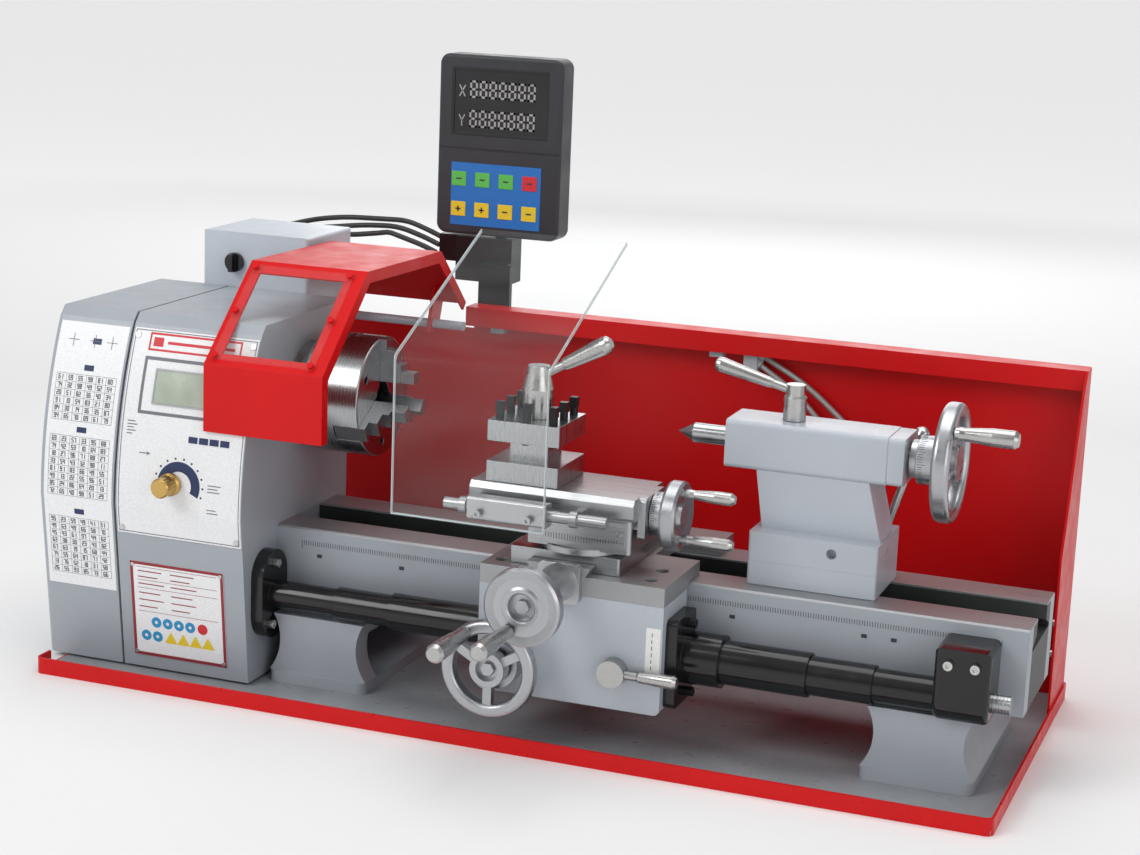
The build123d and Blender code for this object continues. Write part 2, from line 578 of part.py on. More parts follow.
# --- handwheels ---------------------------------------------------------------------------
def pin_base(hub, direction, reach, angle, rise):
    """Where a grip's pin starts: reach out from the hub at an angle, and up by rise."""
    plane = Plane(origin=hub, x_dir=(1, 0, 0) if direction[0] == 0 else (0, 1, 0),
                  z_dir=direction)
    spot = plane.from_local_coords((reach * cos(radians(angle)), reach * sin(radians(angle)), rise))
    return (spot.X, spot.Y, spot.Z)


def grip_pin(base, direction, length):
    """Fixed pin that a grip turns on; it starts 5 mm below the wheel's face."""
    start = [b - 5 * d for b, d in zip(base, direction)]
    return rod(start, direction, 3.0, length + 5)


def grip(base, direction, length, radius):
    """Tapered grip that turns on its pin."""
    profile = [(3.0 + RUN, 0.4), (radius * 0.7, 0.4), (radius * 0.78, 4), (radius * 0.72, 8),
               (radius, length * 0.6), (radius, length - 3), (radius - 2, length), (0, length),
               (0, length - 6), (3.0 + RUN, length - 6)]
    return turned(profile, base, direction)


def spoked_wheel(hub, direction, outer, inner, thick, hub_r, spokes, phase=90):
    """Rim, hub and spokes of a handwheel standing on its hub point."""
    rim = turned([(inner, 0), (outer, 0), (outer, thick), (inner, thick)], hub, direction)
    rim = fillet(rim.edges(), thick * 0.3)
    wheel = rim + rod(hub, direction, hub_r, thick)
    plane = Plane(origin=hub, x_dir=(1, 0, 0) if direction[0] == 0 else (0, 1, 0),
                  z_dir=direction)
    for k in range(spokes):
        arm = Rot(0, 0, phase + k * 360 / spokes) * (
            Pos((hub_r + inner) / 2, 0, thick / 2) * Box(inner - hub_r + 5, 7, thick * 0.55))
        wheel += plane * arm
    return wheel


def hex_nut(base, height):
    """A six-sided nut that faces the front."""
    plane = Plane(origin=base, x_dir=(1, 0, 0), z_dir=(0, -1, 0))
    return extrude(plane * RegularPolygon(5.6, 6), height, dir=(0, -1, 0))


def carriage_handwheel():
    """Spoked wheel that winds the carriage along."""
    x, y, z = CARRIAGE_HUB
    wheel = spoked_wheel(CARRIAGE_HUB, (0, -1, 0), 38.5, 28, 12, 14, 3, 270)
    wheel -= rod((x, y - 6, z), (0, -1, 0), 9, 7)
    wheel += hex_nut((x, y - 5.5, z), 5)
    wheel += rod((x, SADDLE_FRONT + 9, z), (0, -1, 0), 7, 32)
    wheel += rod((x, SADDLE_FRONT - 0.5, z), (0, -1, 0), 19, 17)
    return wheel + grip_pin(CARRIAGE_PIN, (0, -1, 0), 52)


def cross_handwheel():
    """Solid dished wheel and dial of the cross feed."""
    x, y, z = CROSS_HUB
    profile = [(0, 0), (29, 0), (30, 2), (30, 10), (28, 12), (22, 10.5), (16, 11), (14, 12),
               (11.5, 12), (10.5, 11), (10.5, 5), (0, 5)]
    wheel = turned(profile, CROSS_HUB, (0, -1, 0)) + hex_nut((x, y - 4.5, z), 5)
    wheel += turned([(0, 0), (20, 0), (21, 1), (21, 17), (17, 21), (0, 21)], (x, y + 18.6, z), (0, -1, 0))
    wheel += rod((x, SADDLE_FRONT, z), (0, -1, 0), 7, 60)
    return wheel + grip_pin(CROSS_PIN, (0, -1, 0), 50)


def top_handwheel():
    """Two-grip wheel and dial of the top slide."""
    x, y, z = TOP_HUB
    profile = [(0, 0), (26, 0), (27, 2), (27, 10), (25, 12), (10, 9), (9, 12), (0, 12)]
    wheel = turned(profile, TOP_HUB, (1, 0, 0))
    wheel += rod((TOP_RIGHT + 6.5, y, z), (1, 0, 0), 17, x - TOP_RIGHT - 6.5)
    wheel += rod((TOP_RIGHT - 35, y, z), (1, 0, 0), 5, 55)
    for pin in TOP_PINS:
        wheel += grip_pin(pin, (1, 0, 0), 32)
    return wheel


def tailstock_handwheel():
    """Spoked wheel and dial of the quill."""
    wheel = spoked_wheel(TAIL_HUB, (1, 0, 0), 46.5, 36, 14, 14, 3)
    dial = [(0, 0), (15, 0), (15, 5), (19, 6), (19, 18), (16, 21), (0, 21)]
    wheel += turned(dial, (BARREL_RIGHT + 15, 0, TAIL_HUB[2]), (1, 0, 0))
    wheel += rod((BARREL_RIGHT + 2, 0, TAIL_HUB[2]), (1, 0, 0), 6, 40)
    return wheel + grip_pin(TAIL_PIN, (1, 0, 0), 40)


CARRIAGE_PIN = pin_base(CARRIAGE_HUB, (0, -1, 0), 33, 124, 12)
CROSS_PIN = pin_base(CROSS_HUB, (0, -1, 0), 21, 243, 12)
TOP_PINS = [pin_base(TOP_HUB, (1, 0, 0), 18, angle, 12) for angle in (90, 270)]
TAIL_PIN = pin_base(TAIL_HUB, (1, 0, 0), 41, 134, 14)


def carriage_grip():
    """Grip of the carriage handwheel."""
    return grip(CARRIAGE_PIN, (0, -1, 0), 60, 7.5)


def cross_grip():
    """Grip of the cross feed handwheel."""
    return grip(CROSS_PIN, (0, -1, 0), 58, 7.0)


def top_grip(k):
    """One grip of the top slide handwheel."""
    return grip(TOP_PINS[k], (1, 0, 0), 40, 5.0)


def tailstock_grip():
    """Grip of the tailstock handwheel."""
    return grip(TAIL_PIN, (1, 0, 0), 48, 7.0)


def half_nut_lever():
    """Lever that closes the half nut on the leadscrew."""
    x, y, z = NUT_HUB
    lever = rod((x, y + 9, z), (0, -1, 0), 6, 9.5)
    lever += rod((x, y - 0.5, z), (0, -1, 0), 11, 11)
    profile = [(0, 0), (3.5, 0), (3.5, 20), (4.4, 22), (5.6, 49), (4, 52), (0, 52)]
    return lever + turned(profile, (x, y - 6, z), (1, 0, 0))


# --- slides and tool post -----------------------------------------------------------------
def cross_slide():
    """Cross slide: dovetail groove below, swivel seat in front, two T-slots behind."""
    slide = block(SLIDE_LEFT, SLIDE_RIGHT, SLIDE_FRONT, SLIDE_BACK, SADDLE_TOP + 0.4, SLIDE_TOP)
    slide = soften(slide, Axis.Z, 2)
    groove = [(48 + x, SADDLE_TOP + z) for x, z in dovetail(22, 26, 0.4)]
    slide -= prism_y(groove, SLIDE_FRONT - 1, SLIDE_BACK + 1)
    for y in (20, 46):
        slide -= block(SLIDE_LEFT - 1, SLIDE_RIGHT + 1, y - 3, y + 3, SLIDE_TOP - 4, SLIDE_TOP + 1)
        slide -= block(SLIDE_LEFT - 1, SLIDE_RIGHT + 1, y - 5.5, y + 5.5, SLIDE_TOP - 5, SLIDE_TOP - 2.5)
    return slide - rod((SWIVEL_X, SWIVEL_Y, SLIDE_TOP - 5), (0, 0, 1), 8 + RUN, 6)


def angle_plate():
    """Plate of the angle scale, its lower edge an arc, and its two screws."""
    x0, x1, z0, z1 = BASE_LEFT + 4, BASE_RIGHT - 4, SLIDE_TOP + 9, BASE_TOP - 2
    edge = Line((x0, z0), (x0, z1)) + Line((x0, z1), (x1, z1)) + Line((x1, z1), (x1, z0))
    edge += ThreePointArc((x1, z0), (SWIVEL_X, z0 - 4), (x0, z0))
    plane = Plane(origin=(0, TOP_FRONT + 6, 0), x_dir=(1, 0, 0), z_dir=(0, -1, 0))
    screws = [screw_head(x, TOP_FRONT + 4, SLIDE_TOP + 19, (0, -1, 0), 2.6, 1.6)
              for x in (x0 + 6, x1 - 6)]
    return [extrude(plane * make_face(edge), 2, dir=(0, -1, 0))] + screws


def compound_base():
    """Swivel disc and base with the dovetail groove of the top slide, and the angle plate."""
    base = rod((SWIVEL_X, SWIVEL_Y, SLIDE_TOP + 0.3), (0, 0, 1), SWIVEL_R, 5)
    base += rod((SWIVEL_X, SWIVEL_Y, SLIDE_TOP - 4.7), (0, 0, 1), 8, 6)
    body = block(BASE_LEFT, BASE_RIGHT, TOP_FRONT + 6, TOP_BACK - 4, SLIDE_TOP + 4, BASE_TOP - 0.3)
    base += soften(body, Axis.Z, 3)
    groove = [(TOP_HUB[1] + y, BASE_TOP - z) for y, z in dovetail(20, 25, 0.4)]
    base -= prism_x(groove, BASE_LEFT - 1, BASE_RIGHT + 1)
    return group([base] + angle_plate())


def top_slide():
    """Top slide with its tongue, end plate, tool post stud and the rod of the tool shield."""
    x, y, z = TOP_HUB
    section = [(TOP_FRONT + 3, BASE_TOP), (TOP_FRONT, BASE_TOP + 3), (TOP_FRONT, TOP_Z - 5),
               (TOP_FRONT + 3, TOP_Z), (TOP_BACK - 1.5, TOP_Z), (TOP_BACK, TOP_Z - 1.5),
               (TOP_BACK, BASE_TOP)]
    slide = prism_x(section, TOP_LEFT, TOP_RIGHT)
    tongue = [(y + u, BASE_TOP - v) for u, v in dovetail(20, 25, 0)]
    slide += prism_x(tongue, BASE_LEFT + 1, TOP_RIGHT)
    slide += soften(block(TOP_RIGHT, TOP_RIGHT + 6, -100, -52, 168, TOP_Z), Axis.X, 5)
    slide -= block(60, TOP_RIGHT, y - 6, y + 6, BASE_TOP - 9, z + 6)
    slide -= rod((TOP_RIGHT - 1, y, z), (1, 0, 0), 5 + RUN, 10)
    slide += rod((POST_X, POST_Y, TOP_Z), (0, 0, 1), 8, POST_Z[3] + 26 - TOP_Z)
    for left in (TOP_LEFT, 60):
        slide += block(left, left + 6, ROD_Y, TOP_FRONT + 1, ROD_Z - 4.4, ROD_Z + 4.4)
        slide += rod((left, ROD_Y, ROD_Z), (1, 0, 0), 6.5, 6)
    return slide + rod((-43, ROD_Y, ROD_Z), (1, 0, 0), ROD_R, 132)


def tool_post():
    """Four-way tool post: two square plates on a square core."""
    z0, z1, z2, z3 = POST_Z
    x, y, h, core = POST_X, POST_Y, POST_HALF, 15.5
    post = soften(block(x - h, x + h, y - h, y + h, z0, z1), Axis.Z, 1)
    post += block(x - core, x + core, y - core, y + core, z1, z2)
    post += soften(block(x - h, x + h, y - h, y + h, z2, z3), Axis.Z, 1)
    post -= rod((x, y, z0 - 1), (0, 0, 1), 8 + RUN, 60)
    for sx, sy in POST_SCREWS:
        post -= rod((x + sx, y + sy, z2 - 1), (0, 0, 1), 3.2, 30)
    return post


def post_screws():
    """Square-headed clamp screws of the tool post."""
    screws = []
    for sx, sy in POST_SCREWS:
        spot = (POST_X + sx, POST_Y + sy, POST_Z[2] - 2)
        head = Pos(spot[0], spot[1], POST_Z[3] + 6) * extrude(Rectangle(6, 6), 8)
        screws.append(rod(spot, (0, 0, 1), 3.2, POST_Z[3] + 6 - spot[2]) + head)
    return group(screws)


def post_lever():
    """Clamp hub and lever on the tool post's stud."""
    z = POST_Z[3] + 0.4
    hub = turned([(8 + RUN, 0), (12.5, 0), (12.5, 22), (9.5, 34), (8.5, 40), (0, 40), (0, 30),
                  (8 + RUN, 30)], (POST_X, POST_Y, z), (0, 0, 1))
    aim = (0.87, 0.0, 0.49)
    hub += rod((POST_X, POST_Y, z + 31), aim, 3.4, 34)
    handle = [(0, 0), (4.5, 0), (5, 2), (7.2, 36), (6.6, 40), (4, 42.5), (0, 42.5)]
    start = (POST_X + aim[0] * 24, POST_Y, z + 31 + aim[2] * 24)
    return hub + turned(handle, start, aim)


def shield_clamp():
    """Clamp block that turns on the rod, and the two screws that hold the clear shield."""
    body = soften(block(-22, 42, ROD_Y - 7.2, ROD_Y + 7, ROD_Z - 9, ROD_Z + 9), Axis.X, 2.5)
    body -= rod((-30, ROD_Y, ROD_Z), (1, 0, 0), ROD_R + RUN, 90)
    heads = [screw_head(x, ROD_Y - 10.5, ROD_Z - 3, (0, -1, 0), 3, 2.2) for x in (-12, 29)]
    return group([body] + heads)


def tool_shield():
    """Bent clear sheet in front of and above the tool."""
    y = ROD_Y - 7.5
    outline = [(y - 3, 174), (y - 3, 298.8), (28, 375.4), (29.3, 372.6), (y, 296.8), (y, 174)]
    sheet = prism_x(outline, -84, 42)
    bends = sheet.edges().filter_by(Axis.X).filter_by_position(Axis.Z, 290, 300)
    return fillet(bends, 6)


# --- tailstock ----------------------------------------------------------------------------
def tailstock_base():
    """Lower plate of the tailstock on the ways."""
    base = block(TAIL_LEFT, TAIL_RIGHT, -TAIL_HALF, TAIL_HALF, BED_TOP + 0.3, 147)
    return soften(base, Axis.Z, 2)


def tailstock_body():
    """Upper casting with its shoulder, sloping neck and square barrel, and the end cap."""
    z = TAIL_HUB[2]
    body = soften(block(TAIL_LEFT, TAIL_RIGHT, -TAIL_HALF, TAIL_HALF, 147, 170), Axis.Z, 2)
    neck = [(180, 170), (TAIL_RIGHT - 2, 170), (262, 216), (173, 216)]
    body += prism_y(neck, -22, 22)
    barrel = block(BARREL_LEFT, BARREL_RIGHT, -BARREL_HALF, BARREL_HALF, 215, 253)
    body += soften(barrel, Axis.X, 4)
    body -= rod((BARREL_LEFT - 1, 0, z), (1, 0, 0), QUILL_R + RUN, 126)
    body -= rod((195, 0, 240), (0, 0, 1), 6 + RUN, 20)
    body -= rod((CLAMP_X, TAIL_HALF + 1, CLAMP_Z), (0, -1, 0), 5 + RUN, 9)
    body -= rod((240, -TAIL_HALF - 1, 160), (0, 1, 0), 4, 8)
    cap = soften(block(BARREL_RIGHT, BARREL_RIGHT + 13, -BARREL_HALF + 0.5, BARREL_HALF - 0.5,
                       215.5, 252.5), Axis.X, 4)
    shaft_hole = rod((BARREL_RIGHT - 5, 0, z), (1, 0, 0), 6 + RUN, 24)
    return group((body - shaft_hole, cap - shaft_hole))


def quill():
    """Sliding quill with a sixty-degree centre in its nose."""
    z = TAIL_HUB[2]
    sleeve = rod((BARREL_LEFT + 1.5, 0, z), (1, 0, 0), QUILL_R, 105)
    sleeve -= rod((BARREL_LEFT, 0, z), (1, 0, 0), 8, 60)
    centre = turned([(0, 0), (8, 13.9), (8, 100), (0, 100)], (101.5, 0, z), (1, 0, 0))
    return group((sleeve, centre))


def quill_lock_lever():
    """Lever that locks the quill."""
    z = 253.4
    hub = turned([(0, -5), (6, -5), (6, 0), (9, 0), (9, 18), (7.5, 20), (7.5, 28), (0, 28)],
                 (195, 0, z), (0, 0, 1))
    aim = (-0.97, 0.0, 0.24)
    hub += rod((195, 0, z + 22), aim, 3.2, 26)
    handle = [(0, 0), (3.6, 0), (4.2, 4), (6.2, 44), (5.4, 47), (3, 48.5), (0, 48.5)]
    start = (195 + aim[0] * 19, 0, z + 22 + aim[2] * 19)
    return hub + turned(handle, start, aim)


def clamp_lever():
    """Bed clamp lever behind the tailstock, with a ball-ended grip."""
    lever = rod((CLAMP_X, TAIL_HALF - 7, CLAMP_Z), (0, 1, 0), 5, 12)
    lever += rod((CLAMP_X, TAIL_HALF + 0.4, CLAMP_Z), (0, 1, 0), 11, 10)
    aim = (0.28, 0.02, 0.96)
    lever += rod((CLAMP_X, TAIL_HALF + 5.4, CLAMP_Z), aim, 3.4, 70)
    grip_start = [v + 62 * a for v, a in zip((CLAMP_X, TAIL_HALF + 5.4, CLAMP_Z), aim)]
    return lever + turned([(0, 0), (4, 0), (6.8, 27), (5.2, 31), (2, 33), (0, 33)], grip_start, aim)


# --- held cables --------------------------------------------------------------------------
def cable(points, radius):
    """A cable of straight runs joined by tangent arcs, as large as its runs allow."""
    route = [Vector(*p) for p in points]
    radii = []
    for before, corner, after in zip(route, route[1:], route[2:]):
        into, out = corner - before, after - corner
        half = radians(into.get_angle(out) / 2)
        radii.append(0.45 * min(into.length, out.length) / tan(half))
    path = FilletPolyline(*route, radius=radii)
    section = Plane(origin=path @ 0, z_dir=path % 0) * Circle(radius)
    solid = sweep(section, path=path)
    ratio = solid.volume / (pi * radius ** 2 * path.length)
    print("cable", round(path.length), "mm, least radius", round(min(radii), 1),
          "volume ratio", round(ratio, 4))
    return solid


def cables():
    """Three leads to the readout bracket and two armoured leads behind the tailstock."""
    routes = []
    for k, x in enumerate(GLAND_X):
        y, z, end = 220 - 7 * k, 346 - 5 * k, 336 - 6 * k
        routes.append([(x, 161, 336), (x, y - 22, 336), (x + 22, y - 4, z - 4), (x + 52, y, z),
                       (-236 - 6 * k, y - 1, z + 2), (-213, y - 3, end + 5), (-199.4, y - 4, end)])
    routes += [[(x, LEAD_Y, z) for x, z in lead] for lead in LEADS]
    return group(cable(route, CABLE_R) for route in routes)


def lead_plug():
    """Block under the lip with the slanting ferrules that the armoured leads start in."""
    plug = block(104, 116, LEAD_Y - 6, LEAD_Y + 6, 250, GUARD_TOP - SHEET)
    for (x, z), (next_x, next_z) in (lead[:2] for lead in LEADS):
        along = Vector(next_x - x, 0, next_z - z).normalized()
        start = Vector(x, LEAD_Y, z)
        plug += rod(start - along * 10, along, 4.2, 11)
        plug -= rod(start, along, CABLE_R, 2)
    return plug


def cable_fittings():
    """Glands of the box, plug and clips under the lip, and the box that the leads end in."""
    gland = [(CABLE_R, 0), (8, 0), (8, 4), (6, 6), (6, 11), (CABLE_R, 11)]
    small = [(CABLE_R, 0), (6, 0), (6, 4), (4.6, 5.5), (4.6, 8), (CABLE_R, 8)]
    pieces = [turned(gland, (x, 160, 336), (0, 1, 0)) for x in GLAND_X]
    pieces += [block(x, x + 12, 169, 181, 262, GUARD_TOP - SHEET) for x in (-130, 73)]
    pieces.append(soften(block(182, 212, LEAD_Y - 8.5, TRAY_BACK - 2 * SHEET, 138, 166), Axis.Y, 3))
    pieces += [turned(small, (lead[-1][0], LEAD_Y, 166), (0, 0, 1)) for lead in LEADS]
    return group(pieces + [lead_plug()])


# --- the nodes ----------------------------------------------------------------------------
SIMPLE = (chip_tray, splash_guard, frame_screws, bed, feet, bed_rack, headstock_shell,
          headstock_casting, spindle_bearings, gear_cover, data_plates, control_panel, speed_knob,
          switch_box, switch_knob, cable_fittings, cables, spindle, motor, motor_pulley, drive_belt,
          chuck_body, chuck_guard, guard_window, readout_bracket, readout_case, leadscrew,
          leadscrew_supports, screw_cover_middle, screw_cover_carriage, saddle, apron,
          carriage_screws, feed_bracket, cross_slide, compound_base, top_slide, tool_post,
          post_screws, post_lever, shield_clamp, tool_shield, carriage_handwheel, cross_handwheel,
          top_handwheel, tailstock_handwheel, carriage_grip, cross_grip, tailstock_grip,
          half_nut_lever, tailstock_base, tailstock_body, quill, quill_lock_lever, clamp_lever)

os.makedirs("parts", exist_ok=True)
for make in SIMPLE:
    export_step(make(), "parts/" + make.__name__ + ".step")
for number, angle in enumerate(JAW_ANGLES, 1):
    export_step(chuck_jaw(angle), "parts/chuck_jaw_" + str(number) + ".step")
for number in (1, 2):
    export_step(top_grip(number - 1), "parts/top_grip_" + str(number) + ".step")
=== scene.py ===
import math

import bpy
import numpy as np
from bpy.props import FloatProperty, FloatVectorProperty, IntProperty, PointerProperty
from mathutils import Matrix, Vector


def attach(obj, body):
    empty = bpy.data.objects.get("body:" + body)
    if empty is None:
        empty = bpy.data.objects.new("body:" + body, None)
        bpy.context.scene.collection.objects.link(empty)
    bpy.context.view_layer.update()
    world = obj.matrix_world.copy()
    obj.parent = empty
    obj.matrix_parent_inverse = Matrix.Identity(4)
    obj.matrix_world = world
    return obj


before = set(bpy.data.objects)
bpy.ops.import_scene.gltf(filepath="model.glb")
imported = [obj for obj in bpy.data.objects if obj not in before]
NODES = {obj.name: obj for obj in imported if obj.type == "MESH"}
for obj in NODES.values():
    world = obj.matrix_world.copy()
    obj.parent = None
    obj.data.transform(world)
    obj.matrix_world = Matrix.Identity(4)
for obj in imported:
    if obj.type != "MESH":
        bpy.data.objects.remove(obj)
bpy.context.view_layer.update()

bl_info = {
    "name": "Bench lathe",
    "version": (1, 0, 0),
    "blender": (4, 5, 0),
    "location": "View3D > Sidebar > Lathe",
    "description": "Dresses the bench lathe: finishes, printed panels, scales, readout and stage",
    "category": "Object",
}

MM = 0.001

# Places that the finishes line up with, in metres.
SPINDLE_AXIS, QUILL_AXIS, SCREW_AXIS = (0, 0, 0.2329), (0, 0, 0.234), (0, -0.079, 0.076)
WAY_FOOT, BED_INNER = 0.1262, 0.0385
TRAY_FLOOR_LOW, TRAY_FLOOR_TOP = 0.001, 0.0040
TRAY_HALF_X, TRAY_MIDDLE_Y, TRAY_HALF_Y = 0.3954, 0.019, 0.1664
SHIELD_HALF, SHIELD_MIDDLE, SHIELD_FOOT = 0.063, -0.021, 0.174


# ---------------------------------------------------------------------------------- sizes
class LatheFinish(bpy.types.PropertyGroup):
    """Colours of the lathe's paints and plastics."""
    red: FloatVectorProperty(name="Red paint", description="Colour of the sheet metal guards",
                             subtype="COLOR", size=3, default=(0.62, 0.0035, 0.005))
    grey: FloatVectorProperty(name="Grey paint", description="Colour of the castings and covers",
                              subtype="COLOR", size=3, default=(0.36, 0.39, 0.43))
    steel: FloatVectorProperty(name="Ground steel", description="Colour of the ground slides",
                               subtype="COLOR", size=3, default=(0.43, 0.44, 0.45))
    panel: FloatVectorProperty(name="Panel", description="Colour of the printed panels",
                               subtype="COLOR", size=3, default=(0.80, 0.81, 0.82))
    ink: FloatVectorProperty(name="Ink", description="Colour of the fine print",
                             subtype="COLOR", size=3, default=(0.03, 0.035, 0.05))
    edge: FloatProperty(name="Edge radius", description="Radius that the finishes round edges to",
                        unit="LENGTH", default=0.0007, min=0.0, max=0.003)


class LatheSizes(bpy.types.PropertyGroup):
    """Sizes of the lathe's printed and added details."""
    tick_pitch: FloatProperty(name="Bed scale pitch", description="Step of the scale on the bed",
                              unit="LENGTH", default=0.002, min=0.001, max=0.01)
    tick_count: IntProperty(name="Dial divisions", description="Marks round each handwheel dial",
                            default=60, min=12, max=120)
    print_lift: FloatProperty(name="Print height", description="Height of print over its panel",
                              unit="LENGTH", default=0.00012, min=0.00005, max=0.001)


def finish_of():
    """The finishes' property group."""
    return bpy.context.scene.lathe_finish


def sizes_of():
    """The details' property group."""
    return bpy.context.scene.lathe_sizes


# ------------------------------------------------------------------------------ materials
class Shader:
    """A material being built: its tree, its Principled shader and short calls for nodes."""

    def __init__(self, name):
        self.material = bpy.data.materials.new(name)
        self.material.use_nodes = True
        self.tree = self.material.node_tree
        self.bsdf = self.tree.nodes["Principled BSDF"]
        self.place = self.add("ShaderNodeTexCoord").outputs["Object"]

    def add(self, kind, **settings):
        node = self.tree.nodes.new(kind)
        for key, value in settings.items():
            setattr(node, key, value)
        return node

    def link(self, source, target):
        self.tree.links.new(source, target)

    def scaled(self, scale, move=(0.0, 0.0, 0.0)):
        """Object coordinates times a scale per axis."""
        node = self.add("ShaderNodeMapping")
        node.inputs["Location"].default_value = move
        node.inputs["Scale"].default_value = scale
        self.link(self.place, node.inputs["Vector"])
        return node.outputs["Vector"]

    def noise(self, vector, scale, detail=2.0, rough=0.5):
        """Fractal noise, 0 to 1."""
        node = self.add("ShaderNodeTexNoise")
        node.inputs["Scale"].default_value = scale
        node.inputs["Detail"].default_value = detail
        node.inputs["Roughness"].default_value = rough
        self.link(vector, node.inputs["Vector"])
        return node.outputs["Fac"]

    def math(self, operation, first, second=0.0, third=0.0):
        """One operation on up to three numbers or outputs."""
        node = self.add("ShaderNodeMath", operation=operation)
        for socket, value in zip(node.inputs, (first, second, third)):
            if isinstance(value, (int, float)):
                socket.default_value = value
            else:
                self.link(value, socket)
        return node.outputs[0]

    def ramp(self, factor, low, high, from_low=0.0, from_high=1.0):
        """A factor carried from one range of numbers to another, held at its ends."""
        node = self.add("ShaderNodeMapRange")
        for name, value in (("From Min", from_low), ("From Max", from_high), ("To Min", low),
                            ("To Max", high)):
            node.inputs[name].default_value = value
        self.link(factor, node.inputs["Value"])
        return node.outputs["Result"]

    def mix(self, factor, first, second):
        """Two colours mixed by a factor."""
        node = self.add("ShaderNodeMix", data_type="RGBA")
        for socket, value in ((node.inputs["Factor"], factor), (node.inputs[6], first),
                              (node.inputs[7], second)):
            if hasattr(value, "is_output"):
                self.link(value, socket)
            elif isinstance(value, (int, float)):
                socket.default_value = value
            else:
                socket.default_value = (*value[:3], 1.0)
        return node.outputs[2]

    def shades(self, factor, colour, dark, light):
        """A colour that goes from a darker to a lighter tone of itself by a noise."""
        return self.mix(self.ramp(factor, 0.0, 1.0, 0.3, 0.7), tone(colour, dark),
                        tone(colour, light))

    def axes(self):
        """X, Y and Z of the Object coordinates."""
        node = self.add("ShaderNodeSeparateXYZ")
        self.link(self.place, node.inputs[0])
        return node.outputs

    def bump(self, height, distance, strength=1.0, rounded=True):
        """Relief from a height, over edges rounded by the finish's edge radius."""
        node = self.add("ShaderNodeBump")
        node.inputs["Distance"].default_value = distance
        node.inputs["Strength"].default_value = strength
        self.link(height, node.inputs["Height"])
        if rounded:
            self.link(self.round_edge(), node.inputs["Normal"])
        self.link(node.outputs["Normal"], self.bsdf.inputs["Normal"])

    def round_edge(self):
        """A normal that is rounded over the edges."""
        node = self.add("ShaderNodeBevel", samples=4)
        node.inputs["Radius"].default_value = finish_of().edge
        return node.outputs["Normal"]


def tone(colour, factor):
    """A colour made lighter or darker."""
    return tuple(min(1.0, c * factor) for c in colour)


def painted(name, colour, rough=0.32, grain=1400.0, relief=0.00006, coat=0.35, shine=0.5):
    """Sprayed paint: fine orange peel, faint cloudiness, dust that dulls it unevenly."""
    s = Shader(name)
    cloud = s.noise(s.place, 9.0, 3.0)
    peel = s.noise(s.place, grain, 1.0)
    s.link(s.shades(cloud, colour, 0.94, 1.05), s.bsdf.inputs["Base Color"])
    s.link(s.ramp(s.noise(s.place, 45.0, 4.0), rough - 0.06, rough + 0.10, 0.3, 0.7),
           s.bsdf.inputs["Roughness"])
    s.bsdf.inputs["Specular IOR Level"].default_value = shine
    s.bsdf.inputs["Coat Weight"].default_value = coat
    s.bsdf.inputs["Coat Roughness"].default_value = 0.18
    s.bump(peel, relief)
    return s.material


def ground(name, colour, lines, rough=0.29, relief=0.000012, metallic=1.0):
    """Ground metal: fine lines along one axis, with slow changes of tone."""
    s = Shader(name)
    scratch = s.noise(s.scaled(lines), 1.0, 3.0, 0.65)
    cloud = s.noise(s.place, 22.0, 3.0)
    both = s.math("MULTIPLY_ADD", cloud, 0.45, s.math("MULTIPLY", scratch, 0.55))
    s.link(s.shades(both, colour, 0.90, 1.07), s.bsdf.inputs["Base Color"])
    s.link(s.ramp(scratch, rough - 0.08, rough + 0.14, 0.25, 0.75), s.bsdf.inputs["Roughness"])
    s.bsdf.inputs["Metallic"].default_value = metallic
    s.bump(scratch, relief)
    return s.material


def turned(name, colour, middle, axis, rough=0.24, relief=0.000012):
    """Turned metal: rings by the distance from an axis and along it."""
    s = Shader(name)
    keep = [0.0 if k == axis else 1.0 for k in range(3)]
    flat = s.scaled(keep, [-m * k for m, k in zip(middle, keep)])
    length = s.add("ShaderNodeVectorMath", operation="LENGTH")
    s.link(flat, length.inputs[0])
    rings = s.add("ShaderNodeCombineXYZ")
    s.link(s.math("MULTIPLY", length.outputs["Value"], 1500.0), rings.inputs[0])
    s.link(s.math("MULTIPLY", s.axes()[axis], 1500.0), rings.inputs[1])
    cut = s.noise(rings.outputs[0], 1.0, 2.0, 0.6)
    cloud = s.noise(s.place, 30.0, 3.0)
    s.link(s.shades(cloud, colour, 0.86, 1.1), s.bsdf.inputs["Base Color"])
    s.link(s.ramp(cut, rough - 0.06, rough + 0.12, 0.3, 0.7), s.bsdf.inputs["Roughness"])
    s.bsdf.inputs["Metallic"].default_value = 1.0
    s.bump(cut, relief)
    return s.material


def polished(name, colour, rough=0.16):
    """Polished or plated metal with faint smears."""
    s = Shader(name)
    smear = s.noise(s.scaled((60.0, 60.0, 160.0)), 1.0, 4.0)
    s.link(s.mix(smear, tone(colour, 0.92), tone(colour, 1.04)), s.bsdf.inputs["Base Color"])
    s.link(s.ramp(smear, rough - 0.05, rough + 0.12, 0.3, 0.7), s.bsdf.inputs["Roughness"])
    s.bsdf.inputs["Metallic"].default_value = 1.0
    s.bump(s.noise(s.place, 700.0, 2.0), 0.00002)
    return s.material


